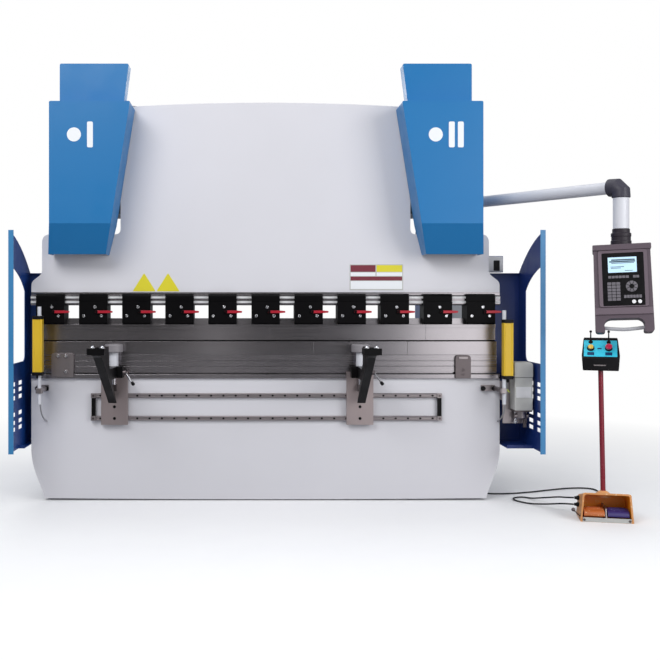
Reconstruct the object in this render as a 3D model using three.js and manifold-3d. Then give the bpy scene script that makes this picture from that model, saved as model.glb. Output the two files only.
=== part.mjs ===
// A hydraulic press brake of the 2.5 m class, with its back gauge, sheet supports, side guards,
// light curtains, control pendant, and a foot switch that carries a small control box on a pole.
// Millimetres. X runs along the bed, Y from the operator's side to the back, Z up from the floor.
// Inside the machine group X = 0 is the middle of the bed and Y = 0 is the front of the ram's plate.
import * as THREE from "three";
import { mergeVertices } from "three/addons/utils/BufferGeometryUtils.js";
import Module from "manifold-3d";

const wasm = await Module();
wasm.setup();

// ---- Driving dimensions -------------------------------------------------------------------

const GAP = 0.3; // between two pieces that touch
const SHEET = 4; // thickness of the folded sheet-metal panels

const BED_HALF = 1252; // half the length of the ram, the table and the bed plate
const RAM_THICK = 70;
const BEND_Y = RAM_THICK / 2; // the bend line, in the middle of the ram's plate
const RAM_BOTTOM = 1113;
const RAM_WING = 1195; // half width above the curved lower ends
const RAM_SHOULDER = 1423; // top of the wings, where the piston rods push
const RAM_NECK = 775; // half width of the plate between the cylinders
const RAM_CROWN = 2127; // top of the plate in the middle
const RAM_CROWN_END = 2102; // top of the plate at its corners
const RAM_STROKE = 120;

const TABLE_TOP = 653;
const TABLE_THICK = 80;
const TABLE_FOOT = 1180; // half width at the floor
const BED_PLATE_TOP = 679;
const DIE_RAIL_TOP = 779;
const DIE_TOP = 851;
const DIE_HALF_DEPTH = 45;
const TOOL_HALF = 1234; // half the length of the punch and the die

const CLAMPS = 11;
const CLAMP_PITCH = 228.5;
const CLAMP_WIDTH = 150;
const CLAMP_BOTTOM = 942;
const CLAMP_TOP = 1104;
const CLAMP_FRONT = -45;
const CLAMP_BACK = 80;
const LEVER_PIVOT = { right: 20, z: 1009 }; // from the clamp's middle
const LEVER_REACH = 84;

const FRAME_INNER = 1020; // from the middle of the machine to a side frame
const FRAME_OUTER = 1080;
const FRAME_FRONT = TABLE_THICK + GAP;
const FRAME_BACK = 1250;
const THROAT_BACK = 450;
const THROAT_BOTTOM = 650;
const THROAT_TOP = 1240;

const CYLINDER_X = 900;
const CYLINDER_RADIUS = 110;
const CYLINDER_BOTTOM = 1560;
const CYLINDER_TOP = 2080;
const ROD_RADIUS = 60;
const ROD_TOP = 1700;

const COVER_FRONT = -220;
const COVER_TOP = 2090;
const COVER_BEND = 1464; // where the front folds back towards the ram
const COVER_BOTTOM = 1310;
const COVER_FOLD = 90; // how far back the fold runs from the bend to the bottom
const HOOD_FRONT = -100;
const HOOD_TOP = 2311;
const SHELL_BACK = 180; // where the covers and hoods end behind the frame's front edge

const GUARD_LEFT = 1298; // from the middle of the machine to the guard's outer face
const GUARD_RIGHT = 1404;
const GUARD_FRONT = -300;
const GUARD_BACK = 158;
const GUARD_BOTTOM = 295;
const GUARD_TOP = 1219; // of the back panel
const GUARD_HINGE_X = 1094;
const HINGE_RADIUS = 9;
const HINGE_SPAN = [GUARD_BOTTOM, GUARD_TOP]; // between the two lugs on the frame
const LUG_HEIGHT = 30;

const ARM_PIVOT = { x: 1130, y: 240, z: 1560 };
const PENDANT = { x: 1690, y: -533, top: 1323, socket: 88 };
const ARM_TUBE_Z = 1612;
const PENDANT_TILT = THREE.MathUtils.degToRad(-7); // the screen leans back
const PENDANT_ROLL = THREE.MathUtils.degToRad(-2);
const PENDANT_TURN = THREE.MathUtils.degToRad(-20); // towards the middle of the machine's front

const STAND = { x: 1660, y: -385, turn: THREE.MathUtils.degToRad(-12) };
const SWITCH_HEIGHT = 146; // where the pole stands on the foot switch
const BOX_BOTTOM = 725; // of the control box on the pole
const CONTROL_HEAD = { x: STAND.x - 12, turn: THREE.MathUtils.degToRad(-20) };

const CORD_RADIUS = 4;

// ---- Colours and finishes -----------------------------------------------------------------

function finish(color, roughness, metalness) {
  return new THREE.MeshStandardMaterial({ color, roughness, metalness });
}
const whitePaint = () => finish(0xd6d6db, 0.5, 0);
const bluePaint = () => finish(0x2f82bc, 0.45, 0);
const groundSteel = () => finish(0x9c9a9f, 0.3, 1);
const blackSteel = () => finish(0x17161a, 0.45, 0.4);
const redPlastic = () => finish(0xa8122c, 0.4, 0);
const yellowPaint = () => finish(0xd6b228, 0.45, 0);
const greyPlastic = () => finish(0xa0a09e, 0.55, 0);
const housingPlastic = () => finish(0x6c6064, 0.5, 0);
const blackPlastic = () => finish(0x14141a, 0.5, 0);
const orangePaint = () => finish(0xb4641c, 0.5, 0);
const violetPaint = () => finish(0x3e3c8c, 0.45, 0);
const maroonPaint = () => finish(0x761828, 0.4, 0);
const cordRubber = () => finish(0x0e0e10, 0.6, 0);

// ---- Shapes -------------------------------------------------------------------------------

// A closed outline. Each corner is [x, y] or [x, y, round]: a corner with a round starts to curve
// that far before the corner and ends that far after it.
function outline(corners) {
  const shape = new THREE.Shape();
  corners.forEach(([x, y, round = 0], i) => {
    const corner = new THREE.Vector2(x, y);
    const towards = ([otherX, otherY]) =>
      new THREE.Vector2(otherX - x, otherY - y).setLength(round).add(corner);
    const start = round ? towards(corners.at(i - 1)) : corner;
    if (i === 0) shape.moveTo(start.x, start.y);
    else shape.lineTo(start.x, start.y);
    if (!round) return;
    const end = towards(corners[(i + 1) % corners.length]);
    shape.quadraticCurveTo(x, y, end.x, end.y);
  });
  return shape;
}

// Which way an outline's own x, its own y and its extrusion point, for a prism along each axis.
const PRISM_AXES = {
  x: [new THREE.Vector3(0, 1, 0), new THREE.Vector3(0, 0, 1), new THREE.Vector3(1, 0, 0)],
  y: [new THREE.Vector3(1, 0, 0), new THREE.Vector3(0, 0, 1), new THREE.Vector3(0, -1, 0)],
  z: [new THREE.Vector3(1, 0, 0), new THREE.Vector3(0, 1, 0), new THREE.Vector3(0, 0, 1)],
};

// An outline drawn in (Y, Z), (X, Z) or (X, Y) and extruded along X, Y or Z over the given span.
function prism(axis, shape, span, curveSegments = 4) {
  const low = Math.min(...span);
  const high = Math.max(...span);
  const options = { depth: high - low, bevelEnabled: false, curveSegments };
  const geometry = new THREE.ExtrudeGeometry(shape, options);
  geometry.applyMatrix4(new THREE.Matrix4().makeBasis(...PRISM_AXES[axis]));
  const offset = axis === "y" ? high : low;
  const along = { x: [offset, 0, 0], y: [0, offset, 0], z: [0, 0, offset] };
  return geometry.translate(...along[axis]);
}

function block(spanX, spanY, spanZ) {
  const size = (span) => Math.abs(span[1] - span[0]);
  const middle = (span) => (span[0] + span[1]) / 2;
  const geometry = new THREE.BoxGeometry(size(spanX), size(spanY), size(spanZ));
  return geometry.translate(middle(spanX), middle(spanY), middle(spanZ));
}

// A round bar between two points.
function rod(start, end, radius, sides = 16) {
  const from = new THREE.Vector3(...start);
  const run = new THREE.Vector3(...end).sub(from);
  const geometry = new THREE.CylinderGeometry(radius, radius, run.length(), sides);
  geometry.translate(0, run.length() / 2, 0);
  const turn = new THREE.Quaternion().setFromUnitVectors(
    new THREE.Vector3(0, 1, 0),
    run.clone().normalize(),
  );
  return geometry.applyQuaternion(turn).translate(...start);
}

function ball(centre, radius, sides = 10) {
  return new THREE.SphereGeometry(radius, sides, Math.ceil(sides / 2)).translate(...centre);
}

// A turned shape on a vertical axis: rings are [radius, z] from the bottom to the top.
function turned(rings, x, y, sides = 20) {
  const profile = rings.map(([radius, z]) => new THREE.Vector2(radius, z));
  const geometry = new THREE.LatheGeometry(profile, sides);
  return geometry.rotateX(Math.PI / 2).translate(x, y, 0);
}

// A round bar bent along a smooth curve through the points.
function bentRod(points, radius, sides, steps) {
  const path = new THREE.CatmullRomCurve3(
    points.map((point) => new THREE.Vector3(...point)),
    false,
    "centripetal",
  );
  const section = new THREE.Shape(
    Array.from({ length: sides }, (_, i) => {
      const angle = (2 * Math.PI * i) / sides;
      return new THREE.Vector2(radius * Math.cos(angle), radius * Math.sin(angle));
    }),
  );
  return new THREE.ExtrudeGeometry(section, { steps, extrudePath: path, bevelEnabled: false });
}

// ---- Joining and cutting ------------------------------------------------------------------

function solidOf(geometry) {
  const loose = geometry.index ? geometry.toNonIndexed() : geometry;
  const bare = new THREE.BufferGeometry();
  bare.setAttribute("position", loose.getAttribute("position"));
  const merged = mergeVertices(bare, 1e-3);
  return new wasm.Manifold(
    new wasm.Mesh({
      numProp: 3,
      vertProperties: merged.attributes.position.array,
      triVerts: new Uint32Array(merged.index.array),
    }),
  );
}

function geometryOf(solid) {
  const mesh = solid.getMesh();
  const geometry = new THREE.BufferGeometry();
  geometry.setAttribute("position", new THREE.BufferAttribute(mesh.vertProperties, 3));
  geometry.setIndex(new THREE.BufferAttribute(mesh.triVerts, 1));
  geometry.computeVertexNormals();
  return geometry;
}

function join(first, ...others) {
  return geometryOf(others.reduce((whole, part) => whole.add(solidOf(part)), solidOf(first)));
}

function cut(body, ...tools) {
  return geometryOf(tools.reduce((rest, tool) => rest.subtract(solidOf(tool)), solidOf(body)));
}

function common(first, second) {
  return geometryOf(solidOf(first).intersect(solidOf(second)));
}

// ---- The machine --------------------------------------------------------------------------

const machine = new THREE.Group();

function piece(name, geometry, material, parent = machine) {
  const mesh = new THREE.Mesh(geometry, material);
  mesh.name = name;
  parent.add(mesh);
  return mesh;
}

const SIDES = [
  { word: "left", side: -1, guard: GUARD_LEFT },
  { word: "right", side: 1, guard: GUARD_RIGHT },
];

// ---- Ram, clamps and tools ----------------------------------------------------------------

function ramBeam() {
  const straightEnd = 37; // height of the straight lower ends
  const curveHeight = 80;
  const shape = new THREE.Shape();
  const curveStart = RAM_BOTTOM + straightEnd;
  const curveEnd = curveStart + curveHeight;
  const curveMiddle = (curveStart + curveEnd) / 2;
  const shoulderRound = 45;
  const neckRound = 30;
  shape.moveTo(-BED_HALF, RAM_BOTTOM);
  shape.lineTo(BED_HALF, RAM_BOTTOM);
  shape.lineTo(BED_HALF, curveStart);
  shape.bezierCurveTo(BED_HALF, curveMiddle, RAM_WING, curveMiddle, RAM_WING, curveEnd);
  shape.lineTo(RAM_WING, RAM_SHOULDER - shoulderRound);
  shape.quadraticCurveTo(RAM_WING, RAM_SHOULDER, RAM_WING - shoulderRound, RAM_SHOULDER);
  shape.lineTo(RAM_NECK + neckRound, RAM_SHOULDER);
  shape.quadraticCurveTo(RAM_NECK, RAM_SHOULDER, RAM_NECK, RAM_SHOULDER + neckRound);
  shape.lineTo(RAM_NECK, RAM_CROWN_END);
  shape.quadraticCurveTo(0, 2 * RAM_CROWN - RAM_CROWN_END, -RAM_NECK, RAM_CROWN_END);
  shape.lineTo(-RAM_NECK, RAM_SHOULDER + neckRound);
  shape.quadraticCurveTo(-RAM_NECK, RAM_SHOULDER, -RAM_NECK - neckRound, RAM_SHOULDER);
  shape.lineTo(-RAM_WING + shoulderRound, RAM_SHOULDER);
  shape.quadraticCurveTo(-RAM_WING, RAM_SHOULDER, -RAM_WING, RAM_SHOULDER - shoulderRound);
  shape.lineTo(-RAM_WING, curveEnd);
  shape.bezierCurveTo(-RAM_WING, curveMiddle, -BED_HALF, curveMiddle, -BED_HALF, curveStart);
  return prism("y", shape, [0, RAM_THICK], 10);
}

// The punch's shoulder sits under the clamps, and its tang goes up into their slot.
const PUNCH = {
  shoulderBottom: 922,
  shoulderTop: CLAMP_BOTTOM - GAP,
  shoulderHalf: 23,
  tangTop: 974,
  tangHalf: 13,
  bodyHalf: 15,
  bevelTop: 856,
  tip: 841,
};

function punch() {
  const { shoulderBottom, shoulderTop, shoulderHalf, tangTop, tangHalf, bodyHalf } = PUNCH;
  const right = [
    [BEND_Y + bodyHalf, PUNCH.bevelTop],
    [BEND_Y + bodyHalf, shoulderBottom],
    [BEND_Y + shoulderHalf, shoulderBottom],
    [BEND_Y + shoulderHalf, shoulderTop],
    [BEND_Y + tangHalf, shoulderTop],
    [BEND_Y + tangHalf, tangTop],
  ];
  const left = right.map(([y, z]) => [2 * BEND_Y - y, z]).reverse();
  const shape = outline([[BEND_Y, PUNCH.tip], ...right, ...left]);
  return prism("x", shape, [-TOOL_HALF, TOOL_HALF]);
}

const clampX = (i) => (i - (CLAMPS - 1) / 2) * CLAMP_PITCH;

function clampRail() {
  const railFront = -12;
  const railBack = RAM_THICK + 12;
  const railBottom = 1043;
  const rail = block([-BED_HALF, BED_HALF], [railFront, railBack], [railBottom, RAM_BOTTOM - GAP]);
  const side = outline([
    [CLAMP_FRONT, CLAMP_BOTTOM + 8],
    [CLAMP_FRONT + 8, CLAMP_BOTTOM],
    [CLAMP_BACK, CLAMP_BOTTOM],
    [CLAMP_BACK, CLAMP_TOP],
    [CLAMP_FRONT + 14, CLAMP_TOP],
    [CLAMP_FRONT, CLAMP_TOP - 14],
  ]);
  const clamps = Array.from({ length: CLAMPS }, (_, i) =>
    prism("x", side, [clampX(i) - CLAMP_WIDTH / 2, clampX(i) + CLAMP_WIDTH / 2]),
  );
  const room = 1; // clearance round the punch's tang
  const slotHalf = PUNCH.tangHalf + room;
  const slot = block(
    [-BED_HALF - room, BED_HALF + room],
    [BEND_Y - slotHalf, BEND_Y + slotHalf],
    [CLAMP_BOTTOM - room, PUNCH.tangTop + room],
  );
  return cut(join(rail, ...clamps), slot);
}

// A lever lies against the front of its clamp and turns about an axis along Y.
function clampLever(i) {
  const x = clampX(i) + LEVER_PIVOT.right;
  const z = LEVER_PIVOT.z;
  const back = CLAMP_FRONT - GAP;
  const hub = rod([x, back, z], [x, back - 13, z], 14, 16);
  const grip = prism(
    "y",
    outline([
      [x - 4, z - 7],
      [x + LEVER_REACH, z - 5, 4],
      [x + LEVER_REACH, z + 5, 4],
      [x - 4, z + 7],
    ]),
    [back - 3, back - 11],
    2,
  );
  return join(hub, grip);
}

function pistonRod(side) {
  const rings = [
    [0, RAM_SHOULDER + GAP],
    [ROD_RADIUS, RAM_SHOULDER + GAP],
    [ROD_RADIUS, ROD_TOP],
    [0, ROD_TOP],
  ];
  return turned(rings, side * CYLINDER_X, BEND_Y, 20);
}

function ramGroup() {
  piece("ram_beam", ramBeam(), whitePaint());
  piece("clamp_rail", clampRail(), blackSteel());
  piece("punch", punch(), groundSteel());
  for (let i = 0; i < CLAMPS; i++) {
    const number = String(i + 1).padStart(2, "0");
    piece(`clamp_lever_${number}`, clampLever(i), redPlastic());
  }
  for (const { word, side } of SIDES) {
    piece(`piston_rod_${word}`, pistonRod(side), groundSteel());
  }
}

// ---- Frames, table and die ----------------------------------------------------------------

// A C-shaped plate. The outer right frame also carries the pendant arm's bracket and a cord gland.
function sideFrame(side) {
  const top = COVER_TOP - 20;
  const nose = FRAME_FRONT + 10; // front of the upper arm, behind the ram's guides
  const shape = outline([
    [FRAME_FRONT, 0],
    [FRAME_FRONT, THROAT_BOTTOM],
    [THROAT_BACK, THROAT_BOTTOM, 120],
    [THROAT_BACK, THROAT_TOP, 120],
    [nose, THROAT_TOP, 30],
    [nose, top, 60],
    [900, top, 60],
    [FRAME_BACK, 1500, 60],
    [FRAME_BACK, 0],
  ]);
  const plate = prism("x", shape, [side * FRAME_INNER, side * FRAME_OUTER], 5);
  const guide = block(
    [side * (FRAME_INNER + 10), side * (FRAME_OUTER - 10)],
    [RAM_THICK + 4, nose + 5],
    [THROAT_TOP + 20, 1800],
  );
  const foot = block([side * 980, side * 1160], [900, FRAME_BACK], [0, 25]);
  const lugBottoms = [HINGE_SPAN[0] - LUG_HEIGHT - 3, HINGE_SPAN[1] + 3];
  const lugs = lugBottoms.map((z) =>
    block(
      [side * (FRAME_OUTER - 5), side * (GUARD_HINGE_X + 10)],
      [GUARD_BACK - 10, GUARD_BACK + 10],
      [z, z + LUG_HEIGHT],
    ),
  );
  const parts = [guide, foot, ...lugs];
  if (side > 0) parts.push(armBracket(), cordGland(), scaleBox());
  return join(plate, ...parts);
}

// The box of the position sensor, over the right guard's back panel.
function scaleBox() {
  return block([FRAME_OUTER - 5, 1318], [176, 236], [1225, 1315]);
}

function armBracket() {
  const { x, y, z } = ARM_PIVOT;
  const shelf = block([FRAME_OUTER - 5, x + 50], [y - 50, y + 50], [z - 15, z - GAP]);
  const rib = prism(
    "y",
    outline([
      [FRAME_OUTER - 5, z - 130],
      [FRAME_OUTER + 5, z - 130],
      [x + 45, z - 10],
      [FRAME_OUTER - 5, z - 10],
    ]),
    [y - 6, y + 6],
  );
  return join(shelf, rib);
}

// Where the foot switch cord leaves the machine.
const MACHINE_GLAND = { x: FRAME_OUTER + 22, y: 200, z: 60 };

function cordGland() {
  const { x, y, z } = MACHINE_GLAND;
  return rod([FRAME_OUTER - 5, y, z], [x, y, z], 11, 12);
}

function tableBeam() {
  const taperStart = 270;
  const shape = new THREE.Shape();
  shape.moveTo(-TABLE_FOOT, 12);
  shape.quadraticCurveTo(0, 0, TABLE_FOOT, 12);
  shape.bezierCurveTo(TABLE_FOOT + 20, 90, BED_HALF, 170, BED_HALF, taperStart);
  shape.lineTo(BED_HALF, TABLE_TOP - GAP);
  shape.lineTo(-BED_HALF, TABLE_TOP - GAP);
  shape.lineTo(-BED_HALF, taperStart);
  shape.bezierCurveTo(-BED_HALF, 170, -TABLE_FOOT - 20, 90, -TABLE_FOOT, 12);
  return prism("y", shape, [0, TABLE_THICK], 10);
}

function bedPlate() {
  const shape = outline([
    [-14, TABLE_TOP],
    [100, TABLE_TOP],
    [100, BED_PLATE_TOP],
    [-10, BED_PLATE_TOP],
    [-14, BED_PLATE_TOP - 4],
  ]);
  return prism("x", shape, [-BED_HALF, BED_HALF]);
}

// The rail that the die stands on: undercut at the bottom, with two clamping grooves per side.
function dieRail() {
  const grooveDepth = 4;
  const grooveHalf = 2;
  const undercut = 12;
  const undercutTop = BED_PLATE_TOP + 8;
  const faceBy = (z) => [
    [DIE_HALF_DEPTH, z - grooveHalf],
    [DIE_HALF_DEPTH - grooveDepth, z - grooveHalf],
    [DIE_HALF_DEPTH - grooveDepth, z + grooveHalf],
    [DIE_HALF_DEPTH, z + grooveHalf],
  ];
  const half = [
    [DIE_HALF_DEPTH - undercut, BED_PLATE_TOP + GAP],
    [DIE_HALF_DEPTH - undercut, undercutTop],
    [DIE_HALF_DEPTH, undercutTop],
    ...faceBy(719),
    ...faceBy(748),
    [DIE_HALF_DEPTH, DIE_RAIL_TOP],
  ];
  const back = half.map(([y, z]) => [BEND_Y + y, z]);
  const front = half.map(([y, z]) => [BEND_Y - y, z]).reverse();
  return prism("x", outline([...back, ...front]), [-TOOL_HALF, TOOL_HALF]);
}

function dieBlock() {
  const grooveHalf = 25; // half the width of the V
  const bottom = DIE_RAIL_TOP + GAP;
  const shape = outline([
    [BEND_Y - DIE_HALF_DEPTH, bottom],
    [BEND_Y + DIE_HALF_DEPTH, bottom],
    [BEND_Y + DIE_HALF_DEPTH, DIE_TOP],
    [BEND_Y + grooveHalf, DIE_TOP],
    [BEND_Y, DIE_TOP - grooveHalf],
    [BEND_Y - grooveHalf, DIE_TOP],
    [BEND_Y - DIE_HALF_DEPTH, DIE_TOP],
  ]);
  return prism("x", shape, [-TOOL_HALF, TOOL_HALF]);
}

const DIE_STOPS = {
  left: { middle: -1080, half: 59, bottom: 662, top: 788 },
  right: { middle: 1051, half: 41, bottom: 655, top: 778 },
};

function dieStop({ middle, half, bottom, top }) {
  const cornerRound = 22;
  const shape = outline([
    [middle - half, bottom],
    [middle + half, bottom],
    [middle + half, top, cornerRound],
    [middle - half, top, cornerRound],
  ]);
  const back = -14 - GAP;
  return prism("y", shape, [back - 14, back]);
}

function frameGroup() {
  for (const { word, side } of SIDES) {
    piece(`side_frame_${word}`, sideFrame(side), bluePaint());
    piece(`die_stop_${word}`, dieStop(DIE_STOPS[word]), groundSteel());
  }
  piece("table_beam", tableBeam(), whitePaint());
  piece("bed_plate", bedPlate(), groundSteel());
  piece("die_rail", dieRail(), groundSteel());
  piece("die_block", dieBlock(), groundSteel());
}

// ---- Hydraulics, covers and hoods ---------------------------------------------------------

function cylinder(side) {
  const bore = ROD_RADIUS + 1.5;
  const boreTop = ROD_TOP + RAM_STROKE + 20;
  const x = side * CYLINDER_X;
  const rings = [
    [bore, CYLINDER_BOTTOM],
    [CYLINDER_RADIUS, CYLINDER_BOTTOM],
    [CYLINDER_RADIUS, CYLINDER_TOP - 15],
    [CYLINDER_RADIUS - 15, CYLINDER_TOP],
    [0, CYLINDER_TOP],
    [0, boreTop],
    [bore, boreTop],
    [bore, CYLINDER_BOTTOM],
  ];
  const barrel = turned(rings, x, BEND_Y, 24);
  const pad = block(
    [side * (CYLINDER_X + 75), side * (FRAME_INNER - GAP)],
    [BEND_Y + 20, FRAME_FRONT + 90],
    [CYLINDER_BOTTOM + 40, CYLINDER_TOP - 40],
  );
  const valveBlock = block([x - 60, x + 60], [BEND_Y - 60, BEND_Y + 60], [CYLINDER_TOP - 2, 2190]);
  return join(barrel, pad, valveBlock);
}

// The space that the ram's plate and wings rise through.
const RAM_ROOM = -8;

function neckRoom(side) {
  const pastNeck = RAM_NECK + 15;
  return block([0, side * pastNeck], [RAM_ROOM, 900], [1000, 2600]);
}

function wingRoom(side) {
  const top = RAM_SHOULDER + RAM_STROKE + 17;
  return block([0, side * 1400], [RAM_ROOM, 900], [1000, top]);
}

// The front view of a cover less a margin: the inner edge leans outwards towards the bottom, and
// below the bend both edges lean further out.
function coverFace(side, margin) {
  const inner = { top: 696, bend: 795, bottom: 834 };
  const outer = { bend: 1111, bottom: 1134 };
  const bottom = margin ? COVER_BOTTOM - 10 : COVER_BOTTOM;
  const below = (COVER_BEND - bottom) / (COVER_BEND - COVER_BOTTOM);
  const at = (from, to) => from + (to - from) * below;
  const top = COVER_TOP - margin;
  return outline([
    [side * (at(inner.bend, inner.bottom) + margin), bottom],
    [side * (at(outer.bend, outer.bottom) - margin), bottom],
    [side * (outer.bend - margin), COVER_BEND],
    [side * (outer.bend - margin), top, 8],
    [side * (inner.top + margin), top, 8],
    [side * (inner.bend + margin), COVER_BEND],
  ]);
}

// The side view of a cover: upright down to the bend, then folded back.
function coverSide(margin) {
  const front = COVER_FRONT + margin;
  const bottom = margin ? COVER_BOTTOM - 10 : COVER_BOTTOM;
  const foldedBack = (COVER_FOLD * (COVER_BEND - bottom)) / (COVER_BEND - COVER_BOTTOM);
  const back = margin ? SHELL_BACK + 10 : SHELL_BACK;
  return outline([
    [front + foldedBack, bottom],
    [back, bottom],
    [back, COVER_TOP - margin],
    [front, COVER_TOP - margin],
    [front, COVER_BEND],
  ]);
}

function cylinderCover(side) {
  const form = (margin) =>
    common(
      prism("y", coverFace(side, margin), [COVER_FRONT - 10, SHELL_BACK + 10]),
      prism("x", coverSide(margin), [side * 600, side * 1200]),
    );
  const valveRoom = block(
    [side * (CYLINDER_X - 80), side * (CYLINDER_X + 80)],
    [BEND_Y - 80, BEND_Y + 80],
    [COVER_TOP - 20, COVER_TOP + 20],
  );
  const sheet = cut(form(0), form(SHEET), neckRoom(side), wingRoom(side), valveRoom);
  const lug = block(
    [side * (FRAME_OUTER + GAP), side * (1111 - SHEET / 2)],
    [SHELL_BACK - SHEET, SHELL_BACK],
    [1650, 2040],
  );
  return join(sheet, lug);
}

function valveHood(side) {
  const bottom = COVER_TOP + GAP;
  const face = (margin) =>
    outline([
      [side * (746 + margin), margin ? bottom - 10 : bottom],
      [side * (1080 - margin), margin ? bottom - 10 : bottom],
      [side * (1080 - margin), HOOD_TOP - margin, 10],
      [side * (718 + margin), HOOD_TOP - margin, 10],
    ]);
  const outer = prism("y", face(0), [HOOD_FRONT, SHELL_BACK]);
  const inner = prism("y", face(SHEET), [HOOD_FRONT + SHEET, SHELL_BACK + 10]);
  return cut(outer, inner, neckRoom(side));
}

// The tank spans the frames; the motor lies on it with the pump at its right end.
const TANK = { front: 300, back: 620, bottom: 1560, top: 1800 };

function hydraulicUnit() {
  const inside = FRAME_INNER - GAP;
  const { front, back, bottom, top } = TANK;
  const motorY = (front + back) / 2;
  const motorZ = top + 130;
  const footing = top - 5; // where what stands on the tank starts
  const tank = block([-inside, inside], [front, back], [bottom, top]);
  const motor = rod([-220, motorY, motorZ], [160, motorY, motorZ], 115, 20);
  const motorFoot = block([-180, 120], [motorY - 90, motorY + 90], [footing, top + 50]);
  const pump = rod([150, motorY, motorZ], [330, motorY, motorZ], 60, 16);
  const manifold = block([380, 560], [motorY - 90, motorY + 90], [footing, motorZ]);
  const pipe = rod([320, motorY, motorZ - 40], [400, motorY, motorZ - 40], 16, 10);
  const filler = rod([-520, motorY, footing], [-520, motorY, top + 60], 45, 16);
  return join(tank, motor, motorFoot, pump, manifold, pipe, filler);
}

function hydraulicsGroup() {
  for (const { word, side } of SIDES) {
    piece(`cylinder_${word}`, cylinder(side), blackSteel());
    piece(`cylinder_cover_${word}`, cylinderCover(side), bluePaint());
    piece(`valve_hood_${word}`, valveHood(side), bluePaint());
  }
  piece("hydraulic_unit", hydraulicUnit(), greyPlastic());
}

// ---- Side guards and light curtains -------------------------------------------------------

const VENT_ROWS = [637, 603, 566, 481, 439, 404];
const VENT_COLUMNS = [-205, -65];

// The side panel in (Y, Z): a curved top edge, a window under it, and two columns of vents.
function guardPanel(outer, side) {
  const topBack = GUARD_TOP;
  const topFront = 1424;
  const windowFront = GUARD_FRONT + 22;
  const windowBack = 35;
  const shape = new THREE.Shape();
  shape.moveTo(GUARD_BACK, GUARD_BOTTOM);
  shape.lineTo(GUARD_BACK, topBack);
  shape.quadraticCurveTo(-60, 1385, GUARD_FRONT, topFront);
  shape.lineTo(GUARD_FRONT, GUARD_BOTTOM);
  const opening = new THREE.Shape();
  opening.moveTo(windowFront, 745);
  opening.lineTo(windowFront, 1252);
  opening.quadraticCurveTo(-60, 1210, windowBack, 1120);
  opening.lineTo(windowBack, 790);
  opening.quadraticCurveTo(windowBack, 745, windowBack - 45, 745);
  const through = [side * (outer - 2 * SHEET), side * (outer + SHEET)];
  const vents = VENT_COLUMNS.flatMap((y) =>
    VENT_ROWS.map((z) => block(through, [y - 38, y + 38], [z - 11, z + 11])),
  );
  const panel = prism("x", shape, [side * (outer - SHEET), side * outer], 8);
  return cut(panel, prism("x", opening, through, 8), ...vents);
}

// Side panel, front flange, back panel with its top lip, tray, and the hinge barrel.
function sideGuard(side, outer) {
  const flangeWidth = 26;
  const across = (from, to) => [side * from, side * to];
  const flange = block(
    across(outer - flangeWidth, outer),
    [GUARD_FRONT, GUARD_FRONT + SHEET],
    [GUARD_BOTTOM, 1424],
  );
  const backPanel = block(
    across(GUARD_HINGE_X, outer),
    [GUARD_BACK - SHEET, GUARD_BACK],
    [GUARD_BOTTOM, GUARD_TOP],
  );
  const lip = block(
    across(GUARD_HINGE_X + 20, outer),
    [GUARD_BACK - 24, GUARD_BACK],
    [GUARD_TOP - SHEET, GUARD_TOP],
  );
  const tray = block(
    across(BED_HALF + 10, outer),
    [-110, GUARD_BACK],
    [GUARD_BOTTOM, GUARD_BOTTOM + SHEET],
  );
  const trayLip = block(
    across(BED_HALF + 10, outer),
    [-110, -110 + SHEET],
    [GUARD_BOTTOM, GUARD_BOTTOM + 18],
  );
  const hinge = rod(
    [side * GUARD_HINGE_X, GUARD_BACK, HINGE_SPAN[0]],
    [side * GUARD_HINGE_X, GUARD_BACK, HINGE_SPAN[1]],
    HINGE_RADIUS,
    12,
  );
  return join(guardPanel(outer, side), flange, backPanel, lip, tray, trayLip, hinge);
}

const CURTAIN_Y = -150;
const CURTAINS = {
  left: { x: -1182, postX: -1175, middle: 835, bracket: [-1222, -1158], lead: -1 },
  right: { x: 1253, postX: 1236, middle: 816, bracket: [1150, 1225], lead: 1 },
};

// The sensor bar on its post, the bracket bolted to the table, and the lead clipped to the table.
function lightCurtain({ x, postX, middle, bracket, lead }) {
  const half = 25;
  const barHalf = 154; // half the height of the bar with its end caps
  const bar = prism(
    "z",
    outline([
      [x - half, CURTAIN_Y - half, 6],
      [x + half, CURTAIN_Y - half, 6],
      [x + half, CURTAIN_Y + half, 6],
      [x - half, CURTAIN_Y + half, 6],
    ]),
    [middle - barHalf, middle + barHalf],
    2,
  );
  const post = rod([postX, CURTAIN_Y, 530], [postX, CURTAIN_Y, middle + barHalf + 48], 11, 12);
  const plate = block(bracket, [-8 - GAP, -GAP], [585, 618]);
  const clampX = Math.max(bracket[0], Math.min(bracket[1], postX));
  const arm = block([clampX - 14, clampX + 14], [CURTAIN_Y - 14, -6], [592, 611]);
  const crossArm = block(
    [Math.min(clampX, postX) - 14, Math.max(clampX, postX) + 14],
    [CURTAIN_Y - 14, CURTAIN_Y + 14],
    [592, 611],
  );
  const leadPath = [
    [x, CURTAIN_Y, middle - barHalf + 8],
    [x + lead * 4, CURTAIN_Y + 22, 640],
    [x + lead * 2, CURTAIN_Y + 40, 560],
    [x - lead * 4, CURTAIN_Y + 70, 470],
    [x - lead * 10, -20, 430],
    [x - lead * 14, -5, 425],
  ];
  return join(bar, post, plate, arm, crossArm, bentRod(leadPath, 4, 6, 14));
}

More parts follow.
